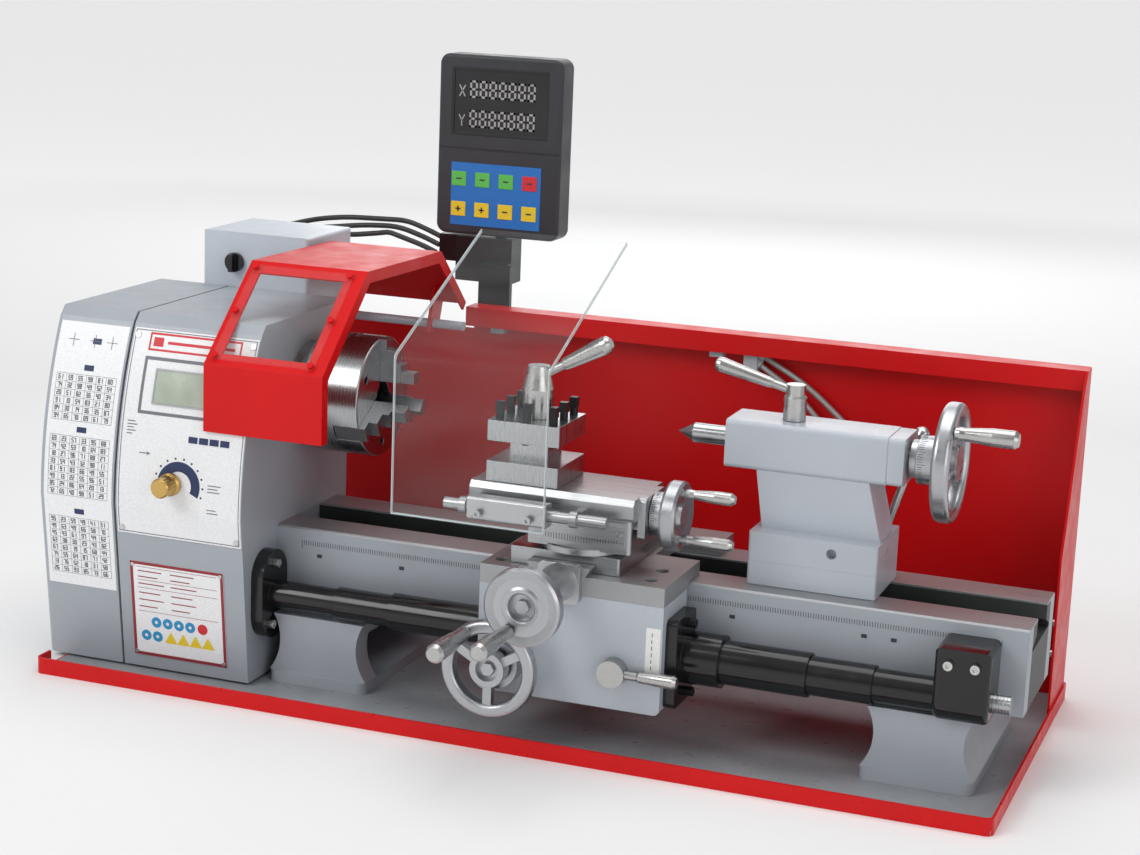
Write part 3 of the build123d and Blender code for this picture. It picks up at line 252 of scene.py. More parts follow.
def moulded(name, colour, rough=0.4, grain=1800.0, relief=0.00005, metallic=0.0):
    """Moulded plastic, rubber or blackened steel: a fine grain and dusty, dull patches."""
    s = Shader(name)
    dust = s.noise(s.place, 28.0, 4.0)
    s.link(s.mix(s.ramp(dust, 0.0, 1.0, 0.35, 0.75), tone(colour, 0.9), tone(colour, 1.25)),
           s.bsdf.inputs["Base Color"])
    s.link(s.ramp(dust, rough - 0.06, rough + 0.12, 0.3, 0.7), s.bsdf.inputs["Roughness"])
    s.bsdf.inputs["Metallic"].default_value = metallic
    s.bump(s.noise(s.place, grain, 2.0), relief)
    return s.material


def clear(name, half, middle, foot):
    """Clear sheet: nearly open, with smears of handling, and a painted glint on its cut edges, which
    are made pale and nearly solid.

    The edges are where x leaves the middle by the half width, and below the foot. A half width
    past the sheet and a foot under it leave the edges out."""
    s = Shader(name)
    x, _, z = s.axes()
    side = s.math("GREATER_THAN", s.math("ABSOLUTE", s.math("SUBTRACT", x, middle)), half - 0.0006)
    # The edge mask marks where the glint on the cut edges is painted.
    edge = s.math("MAXIMUM", side, s.math("LESS_THAN", z, foot + 0.0008))
    smear = s.noise(s.scaled((14.0, 60.0, 30.0)), 1.0, 5.0)
    film = s.ramp(smear, 0.022, 0.045, 0.35, 0.75)
    # Painted glint: the cut edges get a pale colour and an alpha near solid.
    s.link(s.mix(edge, (0.62, 0.68, 0.68), (0.58, 0.66, 0.67)), s.bsdf.inputs["Base Color"])
    s.link(s.math("MAXIMUM", film, s.math("MULTIPLY", edge, 0.85)), s.bsdf.inputs["Alpha"])
    s.link(s.ramp(smear, 0.03, 0.12, 0.45, 0.8), s.bsdf.inputs["Roughness"])
    s.bsdf.inputs["IOR"].default_value = 1.7
    return s.material


def lead_jacket():
    """Cable jackets: black rubber, and ribbed metal armour on the leads near the tailstock, with
    painted highlights on the ribs and painted shade between them.
    """
    s = Shader("lead_jacket")
    x, _, z = s.axes()
    armour = s.math("GREATER_THAN", x, 0.0)
    # The ribs: a wave across the armour, used for its relief and also for its painted highlights and
    # shade.
    rib_relief_and_painted_light = s.math("SINE", s.math("MULTIPLY", s.math("SUBTRACT", x, z), 3200.0))
    rib_relief_and_painted_light = s.ramp(rib_relief_and_painted_light, 0.0, 1.0, -1.0, 1.0)
    dust = s.noise(s.place, 60.0, 4.0)
    black = s.mix(dust, (0.012, 0.012, 0.013), (0.035, 0.035, 0.035))
    # Painted highlight and shade: the armour's colour swings from dark to bright across each rib.
    bright = s.mix(rib_relief_and_painted_light, (0.16, 0.16, 0.16), (0.72, 0.72, 0.70))
    s.link(s.mix(armour, black, bright), s.bsdf.inputs["Base Color"])
    s.link(s.math("MULTIPLY", armour, 0.6), s.bsdf.inputs["Metallic"])
    s.link(s.ramp(dust, 0.35, 0.6, 0.3, 0.7), s.bsdf.inputs["Roughness"])
    s.bump(s.math("MULTIPLY", armour, rib_relief_and_painted_light), 0.0003)
    return s.material


def ink(name, colour, rough=0.45):
    """Printed ink, a little uneven."""
    s = Shader(name)
    spread = s.noise(s.place, 900.0, 2.0)
    s.link(s.shades(spread, colour, 0.92, 1.08), s.bsdf.inputs["Base Color"])
    s.link(s.ramp(spread, rough - 0.05, rough + 0.08, 0.3, 0.7), s.bsdf.inputs["Roughness"])
    return s.material


def tray_paint():
    """Tray: red outside and on the rim, pale grey with swarf dust on its floor."""
    s = Shader("tray_paint")
    colour, dusty = finish_of().red, (0.30, 0.32, 0.34)
    x, y, z = s.axes()
    low = s.math("LESS_THAN", z, TRAY_FLOOR_TOP)
    inside_x = s.math("LESS_THAN", s.math("ABSOLUTE", x), TRAY_HALF_X)
    middle_y = s.math("ABSOLUTE", s.math("SUBTRACT", y, TRAY_MIDDLE_Y))
    inside = s.math("MULTIPLY", inside_x, s.math("LESS_THAN", middle_y, TRAY_HALF_Y))
    above = s.math("GREATER_THAN", z, TRAY_FLOOR_LOW)
    floor = s.math("MULTIPLY", s.math("MULTIPLY", low, inside), above)
    cloud = s.noise(s.place, 14.0, 5.0)
    grey = s.shades(cloud, dusty, 0.86, 1.12)
    red = s.shades(cloud, colour, 0.94, 1.05)
    s.link(s.mix(floor, red, grey), s.bsdf.inputs["Base Color"])
    s.link(s.ramp(s.noise(s.place, 60.0, 4.0), 0.26, 0.46, 0.3, 0.7), s.bsdf.inputs["Roughness"])
    s.bsdf.inputs["Specular IOR Level"].default_value = 0.25
    s.bump(s.noise(s.place, 1400.0, 1.0), 0.00006)
    return s.material


def bed_paint():
    """Bed: grey paint outside, near-black painted shade on the walls inside, bright ground ways on
    top.
    """
    s = Shader("bed_paint")
    colour, steel = finish_of().grey, finish_of().steel
    _, y, z = s.axes()
    way = s.math("GREATER_THAN", z, WAY_FOOT)
    lines = s.noise(s.scaled((9.0, 1500.0, 1500.0)), 1.0, 3.0)
    cloud = s.noise(s.place, 12.0, 3.0)
    paint = s.shades(cloud, colour, 0.94, 1.05)
    # Painted shade: the walls inside the bed, between the ways and below their foot, are made nearly
    # black.
    inner = s.math("LESS_THAN", s.math("ABSOLUTE", y), BED_INNER)
    inner = s.math("MULTIPLY", inner, s.math("LESS_THAN", z, WAY_FOOT))
    recess_painted_shade = s.mix(cloud, (0.012, 0.014, 0.014), (0.045, 0.05, 0.048))
    bright = s.mix(lines, tone(steel, 0.85), tone(steel, 1.15))
    s.link(s.mix(inner, s.mix(way, paint, bright), recess_painted_shade), s.bsdf.inputs["Base Color"])
    s.link(way, s.bsdf.inputs["Metallic"])
    s.link(s.ramp(lines, 0.40, 0.58, 0.3, 0.7), s.bsdf.inputs["Roughness"])
    s.bump(s.noise(s.place, 1200.0, 1.0), 0.00006)
    return s.material


def make_finishes():
    """Every finish by its name."""
    f = finish_of()
    red, grey, steel = tuple(f.red), tuple(f.grey), tuple(f.steel)
    return {
        "red": painted("red_paint", red, 0.36, coat=0.04, shine=0.22),
        "tray": tray_paint(),
        "grey": painted("grey_paint", grey, 0.38, 1100.0, 0.00009, 0.2),
        "pale": painted("pale_grey_paint", tone(grey, 1.5), 0.35, 1300.0, 0.00006, 0.25),
        "casting": painted("casting_paint", tone(grey, 0.8), 0.55, 500.0, 0.0003, 0.0),
        "bed": bed_paint(),
        "slide_x": ground("ground_along_x", steel, (12.0, 1800.0, 1800.0)),
        "slide_y": ground("ground_along_y", steel, (1800.0, 12.0, 1800.0)),
        "saddle": ground("scraped_saddle", tone(steel, 0.92), (1500.0, 25.0, 1500.0), 0.44,
                         metallic=0.7),
        "post": ground("tool_post_steel", tone(steel, 1.05), (1600.0, 1600.0, 14.0), 0.24),
        "apron": painted("apron_paint", tone(grey, 1.28), 0.33, 1200.0, 0.00008, 0.3),
        "chuck": turned("turned_chuck", tone(steel, 0.95), SPINDLE_AXIS, 0),
        "jaw": ground("jaw_steel", tone(steel, 0.72), (900.0, 900.0, 900.0), 0.3, 0.00005),
        "spindle": turned("turned_spindle", steel, SPINDLE_AXIS, 0),
        "quill": turned("turned_quill", tone(steel, 1.1), QUILL_AXIS, 0, 0.16),
        "screw": turned("turned_screw", steel, SCREW_AXIS, 0, 0.2, 0.0003),
        "wheel": polished("cast_wheel", (0.47, 0.48, 0.50), 0.30),
        "grip": polished("polished_grip", (0.50, 0.50, 0.49), 0.24),
        "alu": polished("aluminium", (0.52, 0.53, 0.54), 0.34),
        "brass": polished("brass", (0.62, 0.40, 0.13), 0.25),
        "bolt": polished("zinc_screw", (0.62, 0.62, 0.60), 0.28),
        "black_steel": moulded("black_steel", (0.018, 0.018, 0.02), 0.34, 900.0, 0.00004, 0.6),
        "gloss_black": moulded("gloss_black", (0.008, 0.008, 0.009), 0.13, 600.0, 0.00001),
        "case": moulded("readout_case", (0.022, 0.024, 0.03), 0.42, 1500.0, 0.00008),
        "grey_plastic": moulded("grey_plastic", (0.42, 0.44, 0.46), 0.42),
        "rubber": moulded("rubber", (0.02, 0.02, 0.02), 0.6),
        "panel": ink("panel_white", tuple(f.panel), 0.34),
        "chart": ink("chart_white", tone(tuple(f.panel), 1.04), 0.4),
        "shield": clear("clear_shield", SHIELD_HALF, SHIELD_MIDDLE, SHIELD_FOOT),
        "pane": clear("clear_pane", 1.0, 0.0, 0.0),
        "leads": lead_jacket(),
        "ink": ink("ink", tuple(f.ink)),
        "ink_grey": ink("ink_grey", (0.16, 0.17, 0.19)),
        "ink_red": ink("ink_red", (0.62, 0.02, 0.03)),
        "ink_maroon": ink("ink_maroon", (0.28, 0.02, 0.03)),
        "ink_blue": ink("ink_blue", (0.01, 0.16, 0.52)),
        "ink_navy": ink("ink_navy", (0.015, 0.03, 0.10)),
        "ink_sky": ink("ink_sky", (0.02, 0.28, 0.55)),
        "ink_green": ink("ink_green", (0.10, 0.50, 0.08)),
        "ink_yellow": ink("ink_yellow", (0.80, 0.58, 0.02)),
        "ink_white": ink("ink_white", (0.82, 0.82, 0.80)),
        "lcd": moulded("lcd_glass", (0.40, 0.45, 0.37), 0.22, 300.0, 0.00001),
        "screen": moulded("screen_glass", (0.010, 0.010, 0.012), 0.12, 300.0, 0.00001),
        "digit": moulded("digit_segment", (0.34, 0.34, 0.34), 0.4),
    }


FINISH_OF_NODE = {
    "chip_tray": "tray", "splash_guard": "red", "frame_screws": "bolt", "bed": "bed",
    "feet": "grey", "bed_rack": "black_steel", "headstock_shell": "grey",
    "headstock_casting": "casting", "spindle_bearings": "bolt", "gear_cover": "grey",
    "data_plates": "chart", "control_panel": "panel", "speed_knob": "brass",
    "switch_box": "pale", "switch_knob": "gloss_black", "cable_fittings": "grey_plastic",
    "cables": "leads", "spindle": "spindle", "motor": "alu", "motor_pulley": "alu",
    "drive_belt": "rubber", "chuck_body": "chuck", "chuck_jaw_1": "jaw", "chuck_jaw_2": "jaw",
    "chuck_jaw_3": "jaw", "chuck_guard": "red", "guard_window": "pane",
    "readout_bracket": "black_steel", "readout_case": "case", "leadscrew": "screw",
    "leadscrew_supports": "gloss_black", "screw_cover_middle": "gloss_black",
    "screw_cover_carriage": "gloss_black", "saddle": "saddle", "apron": "apron",
    "carriage_screws": "black_steel", "feed_bracket": "alu", "cross_slide": "slide_y",
    "compound_base": "slide_x", "top_slide": "slide_x", "tool_post": "post",
    "post_screws": "black_steel", "post_lever": "grip", "shield_clamp": "alu",
    "tool_shield": "shield", "carriage_handwheel": "wheel", "cross_handwheel": "wheel",
    "top_handwheel": "wheel", "tailstock_handwheel": "wheel", "carriage_grip": "grip",
    "cross_grip": "grip", "top_grip_1": "grip", "top_grip_2": "grip", "tailstock_grip": "grip",
    "half_nut_lever": "grip", "tailstock_base": "apron", "tailstock_body": "apron",
    "quill": "quill", "quill_lock_lever": "grip", "clamp_lever": "grip",
}
FINISH = {}


# ----------------------------------------------------------------------------- mesh tools
def mesh_piece(name, points, faces, finish, body, slot):
    """A mesh object at the origin that rides on a body and takes a finish."""
    mesh = bpy.data.meshes.new(name)
    mesh.from_pydata(np.asarray(points, dtype=float).tolist(), [], np.asarray(faces).tolist())
    mesh.validate()
    mesh.update()
    obj = bpy.data.objects.new(name, mesh)
    bpy.context.scene.collection.objects.link(obj)
    mesh.materials.append(FINISH[finish])
    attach(obj, body)
    return obj


def boxes(low, high):
    """Many boxes at once: eight corners each, picked from the two corners by a 0/1 pattern."""
    low, high = np.atleast_2d(low), np.atleast_2d(high)
    pick = np.array([[i, j, k] for i in (0, 1) for j in (0, 1) for k in (0, 1)])
    points = low[:, None, :] * (1 - pick) + high[:, None, :] * pick
    quads = np.array([[0, 1, 3, 2], [4, 6, 7, 5], [0, 4, 5, 1], [2, 3, 7, 6], [0, 2, 6, 4],
                      [1, 5, 7, 3]])
    faces = quads[None] + 8 * np.arange(len(low))[:, None, None]
    return points.reshape(-1, 3), faces.reshape(-1, 4)


def joined(parts):
    """Several (points, faces) of one face size as one."""
    points, faces, start = [], [], 0
    for p, f in parts:
        points.append(p)
        faces.append(np.asarray(f) + start)
        start += len(p)
    return np.concatenate(points), np.concatenate(faces)


def grid_quads(index):
    """The quads of a grid of vertex numbers."""
    corners = index[:-1, :-1], index[1:, :-1], index[1:, 1:], index[:-1, 1:]
    return np.stack(corners, -1).reshape(-1, 4)


def slab(u, v, place, thick):
    """A closed thin sheet over a grid: place(u, v, height) gives its lower and upper skins."""
    uu, vv = np.meshgrid(u, v, indexing="ij")
    low, high = place(uu, vv, 0.0), place(uu, vv, thick)
    n, m = uu.shape
    index = np.arange(n * m).reshape(n, m)
    quad = grid_quads(index)
    rim = np.concatenate([index[:, 0], index[-1, 1:], index[-2::-1, -1], index[0, -2:0:-1]])
    after = np.roll(rim, -1)
    side = np.stack([rim, after, after + n * m, rim + n * m], -1)
    points = np.concatenate([low.reshape(-1, 3), high.reshape(-1, 3)])
    return points, np.concatenate([quad[:, ::-1], quad + n * m, side])


# The headstock's front seen from the side: (y, z) in mm of its foot, knee, middle and top.
FRONT_LOW, FRONT_KNEE, FRONT_MID, FRONT_TOP = (-104, 4), (-118.5, 145), (-111.3, 210), (-86, 290)


def front_circle():
    """Centre and radius of the arc through the headstock's knee, middle and top."""
    (ax, ay), (bx, by), (cx, cy) = FRONT_KNEE, FRONT_MID, FRONT_TOP
    d = 2 * (ax * (by - cy) + bx * (cy - ay) + cx * (ay - by))
    a, b, c = ax * ax + ay * ay, bx * bx + by * by, cx * cx + cy * cy
    ux = (a * (by - cy) + b * (cy - ay) + c * (ay - by)) / d
    uy = (a * (cx - bx) + b * (ax - cx) + c * (bx - ax)) / d
    return ux, uy, math.hypot(ax - ux, ay - uy)


ARC = front_circle()
FRONT_ROW = 4  # mm between the rows of a print, so that it follows the curve


def front_y(z):
    """Headstock front, in mm: straight below the knee, on the arc above it."""
    z = np.asarray(z, dtype=float)
    share = (z - FRONT_LOW[1]) / (FRONT_KNEE[1] - FRONT_LOW[1])
    straight = FRONT_LOW[0] + (FRONT_KNEE[0] - FRONT_LOW[0]) * share
    cy, cz, r = ARC
    curved = cy - np.sqrt(np.maximum(r * r - (z - cz) ** 2, 0.0))
    return np.where(z < FRONT_KNEE[1], straight, curved)


def on_front(lift):
    """Places (x, z) in mm on the headstock's front, lifted forward."""
    def place(x, z, height):
        return np.stack([x, front_y(z) - lift - height, z], -1) * MM

    return place


def print_height():
    """Thickness of a print, in mm."""
    return sizes_of().print_lift / MM


def front_patch(x0, x1, z0, z1, lift, thick=None):
    """A printed rectangle on the front, in rows that follow the curve."""
    thick = print_height() if thick is None else thick
    rows = max(2, int((z1 - z0) / FRONT_ROW) + 2)
    return slab(np.linspace(x0, x1, 2), np.linspace(z0, z1, rows), on_front(lift), thick)


def front_frame(x0, x1, z0, z1, wide, lift, thick=None):
    """Four printed bars round a rectangle."""
    return [front_patch(x0, x1, z0, z0 + wide, lift, thick),
            front_patch(x0, x1, z1 - wide, z1, lift, thick),
            front_patch(x0, x0 + wide, z0 + wide, z1 - wide, lift, thick),
            front_patch(x1 - wide, x1, z0 + wide, z1 - wide, lift, thick)]


def front_disc(x, z, radius, lift, thick=None):
    """A printed disc on the front: a square grid drawn out to a circle.

    Across is u times the root of one less half v squared, and up is the same with u and v
    changed over, so that the grid's edge lands on the circle."""
    thick = print_height() if thick is None else thick

    def place(u, v, height):
        across, up = u * np.sqrt(1 - v * v / 2), v * np.sqrt(1 - u * u / 2)
        return on_front(lift)(x + radius * across, z + radius * up, height)

    grid = np.linspace(-1, 1, 7)
    return slab(grid, grid, place, thick)


ARC_STEPS = 32


def front_arc(x, z, inner, outer, start, end, lift):
    """A printed part of a ring on the front: radius across, angle in degrees along."""
    def place(r, a, height):
        return on_front(lift)(x + r * np.cos(a), z + r * np.sin(a), height)

    angles = np.radians(np.linspace(start, end, ARC_STEPS + 1))
    return slab(np.array([inner, outer]), angles, place, print_height())


def front_triangle(x, z, high, lift):
    """A printed triangle on the front, point up: width falls evenly from foot to point."""
    def place(u, v, height):
        return on_front(lift)(x + u * high * 0.58 * (1.01 - v), z + high * (v - 0.4), height)

    return slab(np.linspace(-1, 1, 2), np.linspace(0, 1, 3), place, print_height())


# Strokes of the seven-segment signs, and each stroke's ends in half heights.
SEGMENTS = {"0": "abcdef", "1": "bc", "2": "abged", "3": "abgcd", "4": "fgbc", "5": "afgcd",
            "6": "afgedc", "7": "abc", "8": "abcdefg", "9": "abcdfg"}
STROKES = {"a": (0, 2, 1, 2), "b": (1, 1, 1, 2), "c": (1, 0, 1, 1), "d": (0, 0, 1, 0),
           "e": (0, 0, 0, 1), "f": (0, 1, 0, 2), "g": (0, 1, 1, 1)}


def digit_bars(text, x, z, high, pen, gap=0.42):
    """Bars of seven-segment digits: each stroke is (x0, x1, z0, z1) in mm.

    A digit is half as wide as high, and the gap is a share of its width."""
    wide = high * 0.5
    bars = []
    for k, sign in enumerate(text):
        left = x + k * wide * (1 + gap)
        for stroke in SEGMENTS.get(sign, ""):
            u0, v0, u1, v1 = STROKES[stroke]
            bars.append((left + u0 * wide * 0.8 - pen / 2, left + u1 * wide * 0.8 + pen / 2,
                         z + v0 * high / 2 - pen / 2, z + v1 * high / 2 + pen / 2))
    return bars


def flat_bars(bars, y, thick):
    """Bars on an upright face that looks to the front, at depth y in mm."""
    b = np.array(bars, dtype=float)
    depth = np.full(len(b), y)
    low = np.stack([b[:, 0], depth - thick, b[:, 2]], -1) * MM
    high = np.stack([b[:, 1], depth, b[:, 3]], -1) * MM
    return boxes(low, high)


def front_bars(bars, lift):
    """Printed bars on the headstock's front; each is (x0, x1, z0, z1) in mm."""
    return joined([front_patch(x0, x1, z0, z1, lift) for x0, x1, z0, z1 in bars])


def dial_marks(centre, axis, radius, start, short, long, count, thick=0.12, wide=0.35):
    """Marks round a dial: boxes in (angle, radius, along), then turned round the axis.

    Every fifth mark is long. The axis is "x" or "y"; start is where the marks begin along it,
    and a negative length runs the other way."""
    angle = np.linspace(0, 2 * np.pi, count, endpoint=False)
    length = np.where(np.arange(count) % 5 == 0, long, short)
    half = wide / 2 / radius
    ends = np.sort(np.stack([np.full(count, float(start)), start + length], -1), axis=1)
    low = np.stack([angle - half, np.full(count, radius - 0.05), ends[:, 0]], -1)
    high = np.stack([angle + half, np.full(count, radius + thick), ends[:, 1]], -1)
    points, faces = boxes(low, high)
    a, r, t = points.T
    cx, cy, cz = centre
    if axis == "x":
        placed = np.stack([t, cy + r * np.cos(a), cz + r * np.sin(a)], -1)
        faces = faces[:, ::-1]
    else:
        placed = np.stack([cx + r * np.cos(a), t, cz + r * np.sin(a)], -1)
    return placed * MM, faces


# ------------------------------------------------------------------------------ operators
class LATHE_OT_finishes(bpy.types.Operator):
    """Gives every CAD node its finish"""
    bl_idname = "lathe.finishes"
    bl_label = "Finishes"

    def execute(self, context):
        FINISH.update(make_finishes())
        for name, node in NODES.items():
            node.data.materials.clear()
            node.data.materials.append(FINISH[FINISH_OF_NODE[name]])
        return {"FINISHED"}


# How far each printed plate stands off the headstock's front, in mm.
PANEL_LIFT, CHART_LIFT, PLATE_LIFT = 1.2, 0.5, 0.8
KNOB_X, KNOB_Z = -280.5, 167
LEFT_MARKS = ((214, 7), (211.5, 9), (209, 6), (206.5, 8), (204, 5))
RIGHT_MARKS = ((170, 12), (167.4, 9), (164.8, 11), (150, 8), (147.4, 10))
KEY_LEFTS = (-274, -264.4, -254.8, -245.2)


class LATHE_OT_speed_panel(bpy.types.Operator):
    """Prints the speed panel: border, stripe, readout window, keys, marks and knob scale"""
    bl_idname = "lathe.speed_panel"
    bl_label = "Speed panel"

    def execute(self, context):
        lift = PANEL_LIFT
        border = front_frame(-335.8, -225.2, 122.8, 286.0, 0.7, lift)
        window = front_frame(-323, -238, 221, 266, 2.6, lift)
        arrow = [front_patch(-318, -308, 189.6, 190.4, lift)]
        arrow += [front_patch(-311 + k, -310.4 + k, 188.4 + 0.6 * k, 191.6 - 0.6 * k, lift)
                  for k in range(3)]
        marks = [front_patch(left, left + wide, z, z + 0.8, lift)
                 for left, rows in ((-331, LEFT_MARKS), (-254, RIGHT_MARKS)) for z, wide in rows]
        mesh_piece("panel_border", *joined(border + window), "ink_grey", "frame", "white_panel")
        mesh_piece("panel_marks", *joined(arrow + marks), "ink_grey", "frame", "white_panel")
        stripe = front_frame(-322, -238, 270.5, 284.5, 1.6, lift)
        stripe += [front_patch(-318, -309, 274, 281, lift),
                   front_patch(-305, -244, 276.4, 278.6, lift)]
        mesh_piece("panel_stripe", *joined(stripe), "ink_red", "frame", "white_panel")
        bezel = front_frame(-311, -246, 229.5, 257.5, 1.1, lift, 1.1)
        mesh_piece("speed_bezel", *joined(bezel), "grey_plastic", "frame", "black_plastic")
        glass = front_patch(-309.9, -247.1, 230.6, 256.4, lift, 0.6)
        mesh_piece("speed_glass", *glass, "lcd", "frame", "black_plastic")
        keys = [front_patch(x, x + 8, 202.5, 207.5, lift, 0.4) for x in KEY_LEFTS]
        mesh_piece("panel_keys", *joined(keys), "ink_navy", "frame", "white_panel")
        scale = front_arc(KNOB_X, KNOB_Z, 11.5, 19.5, -25, 205, lift)
        mesh_piece("knob_scale", *scale, "ink_navy", "frame", "white_panel")
        dots = [front_disc(KNOB_X + 22 * math.cos(a), KNOB_Z + 22 * math.sin(a), 0.9, lift)
                for a in np.radians(np.arange(-20, 201, 20))]
        mesh_piece("knob_dots", *joined(dots), "ink_navy", "frame", "white_panel")
        return {"FINISHED"}


CHART_LEFT, CHART_RIGHT, CHART_STEP, CHART_PEN = -402.5, -346.5, 6.2, 0.12
CHART_TABLES = ((208, 6), (146, 8), (78, 8))  # foot in mm, rows


class LATHE_OT_feed_chart(bpy.types.Operator):
    """Prints the feed chart on the gear cover: three tables of numbers with rules"""
    bl_idname = "lathe.feed_chart"
    bl_label = "Feed chart"

    def execute(self, context):
        rules, figures, blocks = [], [], []
        rng = np.random.default_rng(7)
        columns = np.linspace(CHART_LEFT, CHART_RIGHT, 7)
        for low, rows in CHART_TABLES:
            high = low + rows * CHART_STEP
            lines = [low + k * CHART_STEP for k in range(rows + 1)]
            rules += [(CHART_LEFT, CHART_RIGHT, z - CHART_PEN, z + CHART_PEN) for z in lines]
            rules += [(x - CHART_PEN, x + CHART_PEN, low, high) for x in columns]
            for z in lines[:-1]:
                for x in columns[:-1]:
                    text = str(rng.integers(10, 99))
                    figures += digit_bars(text, x + 2.0, z + 1.4, 3.4, 0.6)
            blocks.append((-378, -369, high + 3.5, high + 8))
        for x in (-392, -372, -356):
            rules += [(x - 5, x + 5, 272, 272.5), (x - 0.3, x + 0.3, 267, 277)]
        blocks += [(-374, -366, 270, 274.5)]
        lift = CHART_LIFT
        mesh_piece("chart_rules", *front_bars(rules, lift), "ink_grey", "frame", "white_panel")
        mesh_piece("chart_figures", *front_bars(figures, lift), "ink", "frame", "white_panel")
        mesh_piece("chart_blocks", *front_bars(blocks, lift), "ink_navy", "frame", "white_panel")
        return {"FINISHED"}


PLATE_LINES = ((89, 22), (84, 18), (78, 24), (70, 20), (64, 23), (58, 17))  # height, length
SIGN_HIGH, SIGN_LOW, SIGN_RADIUS = 45.5, 33, 4.6
BLUE_SIGNS = ((-306, SIGN_HIGH), (-295.5, SIGN_HIGH), (-285, SIGN_HIGH), (-274.5, SIGN_HIGH),
              (-316, SIGN_LOW), (-305.5, SIGN_LOW))


class LATHE_OT_data_plate(bpy.types.Operator):
    """Prints the data plate: border, lines and plain round and three-cornered signs"""
    bl_idname = "lathe.data_plate"
    bl_label = "Data plate"

    def execute(self, context):
        lift = PLATE_LIFT
        border = front_frame(-328, -242, 15, 97.5, 2.6, lift)
        mesh_piece("plate_border", *joined(border), "ink_maroon", "frame", "white_panel")
        lines = [(-321 + 30 * c, -321 + 30 * c + w, z, z + 0.9)
                 for c in (0, 1) for z, w in PLATE_LINES]
        lines += [(-322, -248, z, z + 0.35) for z in (92.8, 81.6, 74.6, 54)]
        mesh_piece("plate_lines", *front_bars(lines, lift), "ink_maroon", "frame", "white_panel")
        blue = [front_disc(x, z, SIGN_RADIUS, lift) for x, z in BLUE_SIGNS]
        mesh_piece("plate_round_signs", *joined(blue), "ink_sky", "frame", "white_panel")
        red = front_disc(-263, SIGN_HIGH, SIGN_RADIUS, lift)
        mesh_piece("plate_red_sign", *red, "ink_red", "frame", "white_panel")
        warn = [front_triangle(x, 32.5, 10, lift) for x in (-293, -281.5, -270, -258.5)]
        mesh_piece("plate_warning_signs", *joined(warn), "ink_yellow", "frame", "white_panel")
        spots = [front_disc(x, z, 1.4, lift + 0.15) for x, z in BLUE_SIGNS]
        mesh_piece("plate_sign_spots", *joined(spots), "ink_white", "frame", "white_panel")
        rivets = [front_disc(x, z, 1.6, lift, 0.7) for x in (-325.5, -244.5) for z in (18, 94.5)]
        mesh_piece("plate_rivets", *joined(rivets), "bolt", "frame", "bright_steel")
        return {"FINISHED"}


READ_FRONT = 200.0  # depth of the readout's face, in mm
KEY_COLUMNS, KEY_ROWS = (-177.8, -155.2, -132.6, -110.0), (393, 366)


class LATHE_OT_readout(bpy.types.Operator):
    """Makes the readout's screen with two rows of figures, and its membrane keys"""
    bl_idname = "lathe.readout"
    bl_label = "Readout"

    def execute(self, context):
        y = READ_FRONT
        mesh_piece("readout_screen", *flat_bars([(-186.9, -95.1, 432.1, 491.9)], y + 1, 0.5),
                   "screen", "readout", "black_plastic")
        rim = [(-187, -95, 432, 434.5), (-187, -95, 489.5, 492), (-187, -184.5, 434.5, 489.5),
               (-97.5, -95, 434.5, 489.5)]
        mesh_piece("readout_rim", *flat_bars(rim, y + 0.6, 0.8), "gloss_black", "readout",
                   "black_plastic")
        bars = []
        for z in (466, 440):
            bars += digit_bars("8888888", -169, z, 13.5, 1.9, 0.36)
        mesh_piece("readout_figures", *flat_bars(bars, y + 0.5, 0.15), "digit", "readout",
                   "black_plastic")
        strokes = [np.array([[-180, 466], [-174.5, 476]]), np.array([[-174.5, 466], [-180, 476]]),
                   np.array([[-180, 450], [-177.2, 445]]), np.array([[-174.5, 450], [-177.2, 445]]),
                   np.array([[-177.2, 445], [-177.2, 440]])]
        points = []
        for a, b in strokes:
            side = np.array([-(b - a)[1], (b - a)[0]]) / np.linalg.norm(b - a) * 0.55
            for x, z in (a - side, b - side, b + side, a + side):
                points.append((x * MM, (y + 0.42) * MM, z * MM))
        order = np.arange(len(points)).reshape(-1, 4)
        mesh_piece("readout_axis_marks", points, order[:, ::-1], "digit", "readout", "black_plastic")
        pad = flat_bars([(-185.5, -99.5, 351.5, 407.5)], y, 0.4)
        mesh_piece("keypad_panel", *pad, "ink_blue", "readout", "black_plastic")

        def keys(row, picks):
            z = KEY_ROWS[row]
            return [(x - 7, x + 7, z - 6.5, z + 6.5) for x in KEY_COLUMNS[picks]]

        for name, finish, bars in (("keys_green", "ink_green", keys(0, slice(0, 3))),
                                   ("key_red", "ink_red", keys(0, slice(3, 4))),
                                   ("keys_yellow", "ink_yellow", keys(1, slice(0, 4)))):
            piece = mesh_piece(name, *flat_bars(bars, y - 0.4, 0.6), finish, "readout",
                               "black_plastic")
            bevel = piece.modifiers.new("edges", "BEVEL")
            bevel.width, bevel.segments = 0.0004, 2
        signs = [(x - 2.5, x + 2.5, z - 0.7, z + 0.7) for x in KEY_COLUMNS for z in KEY_ROWS[::-1]]
        signs += [(x - 0.7, x + 0.7, 363.5, 368.5) for x in KEY_COLUMNS[:2]]
        mesh_piece("key_signs", *flat_bars(signs, y - 1.0, 0.12), "ink", "readout", "black_plastic")
        return {"FINISHED"}


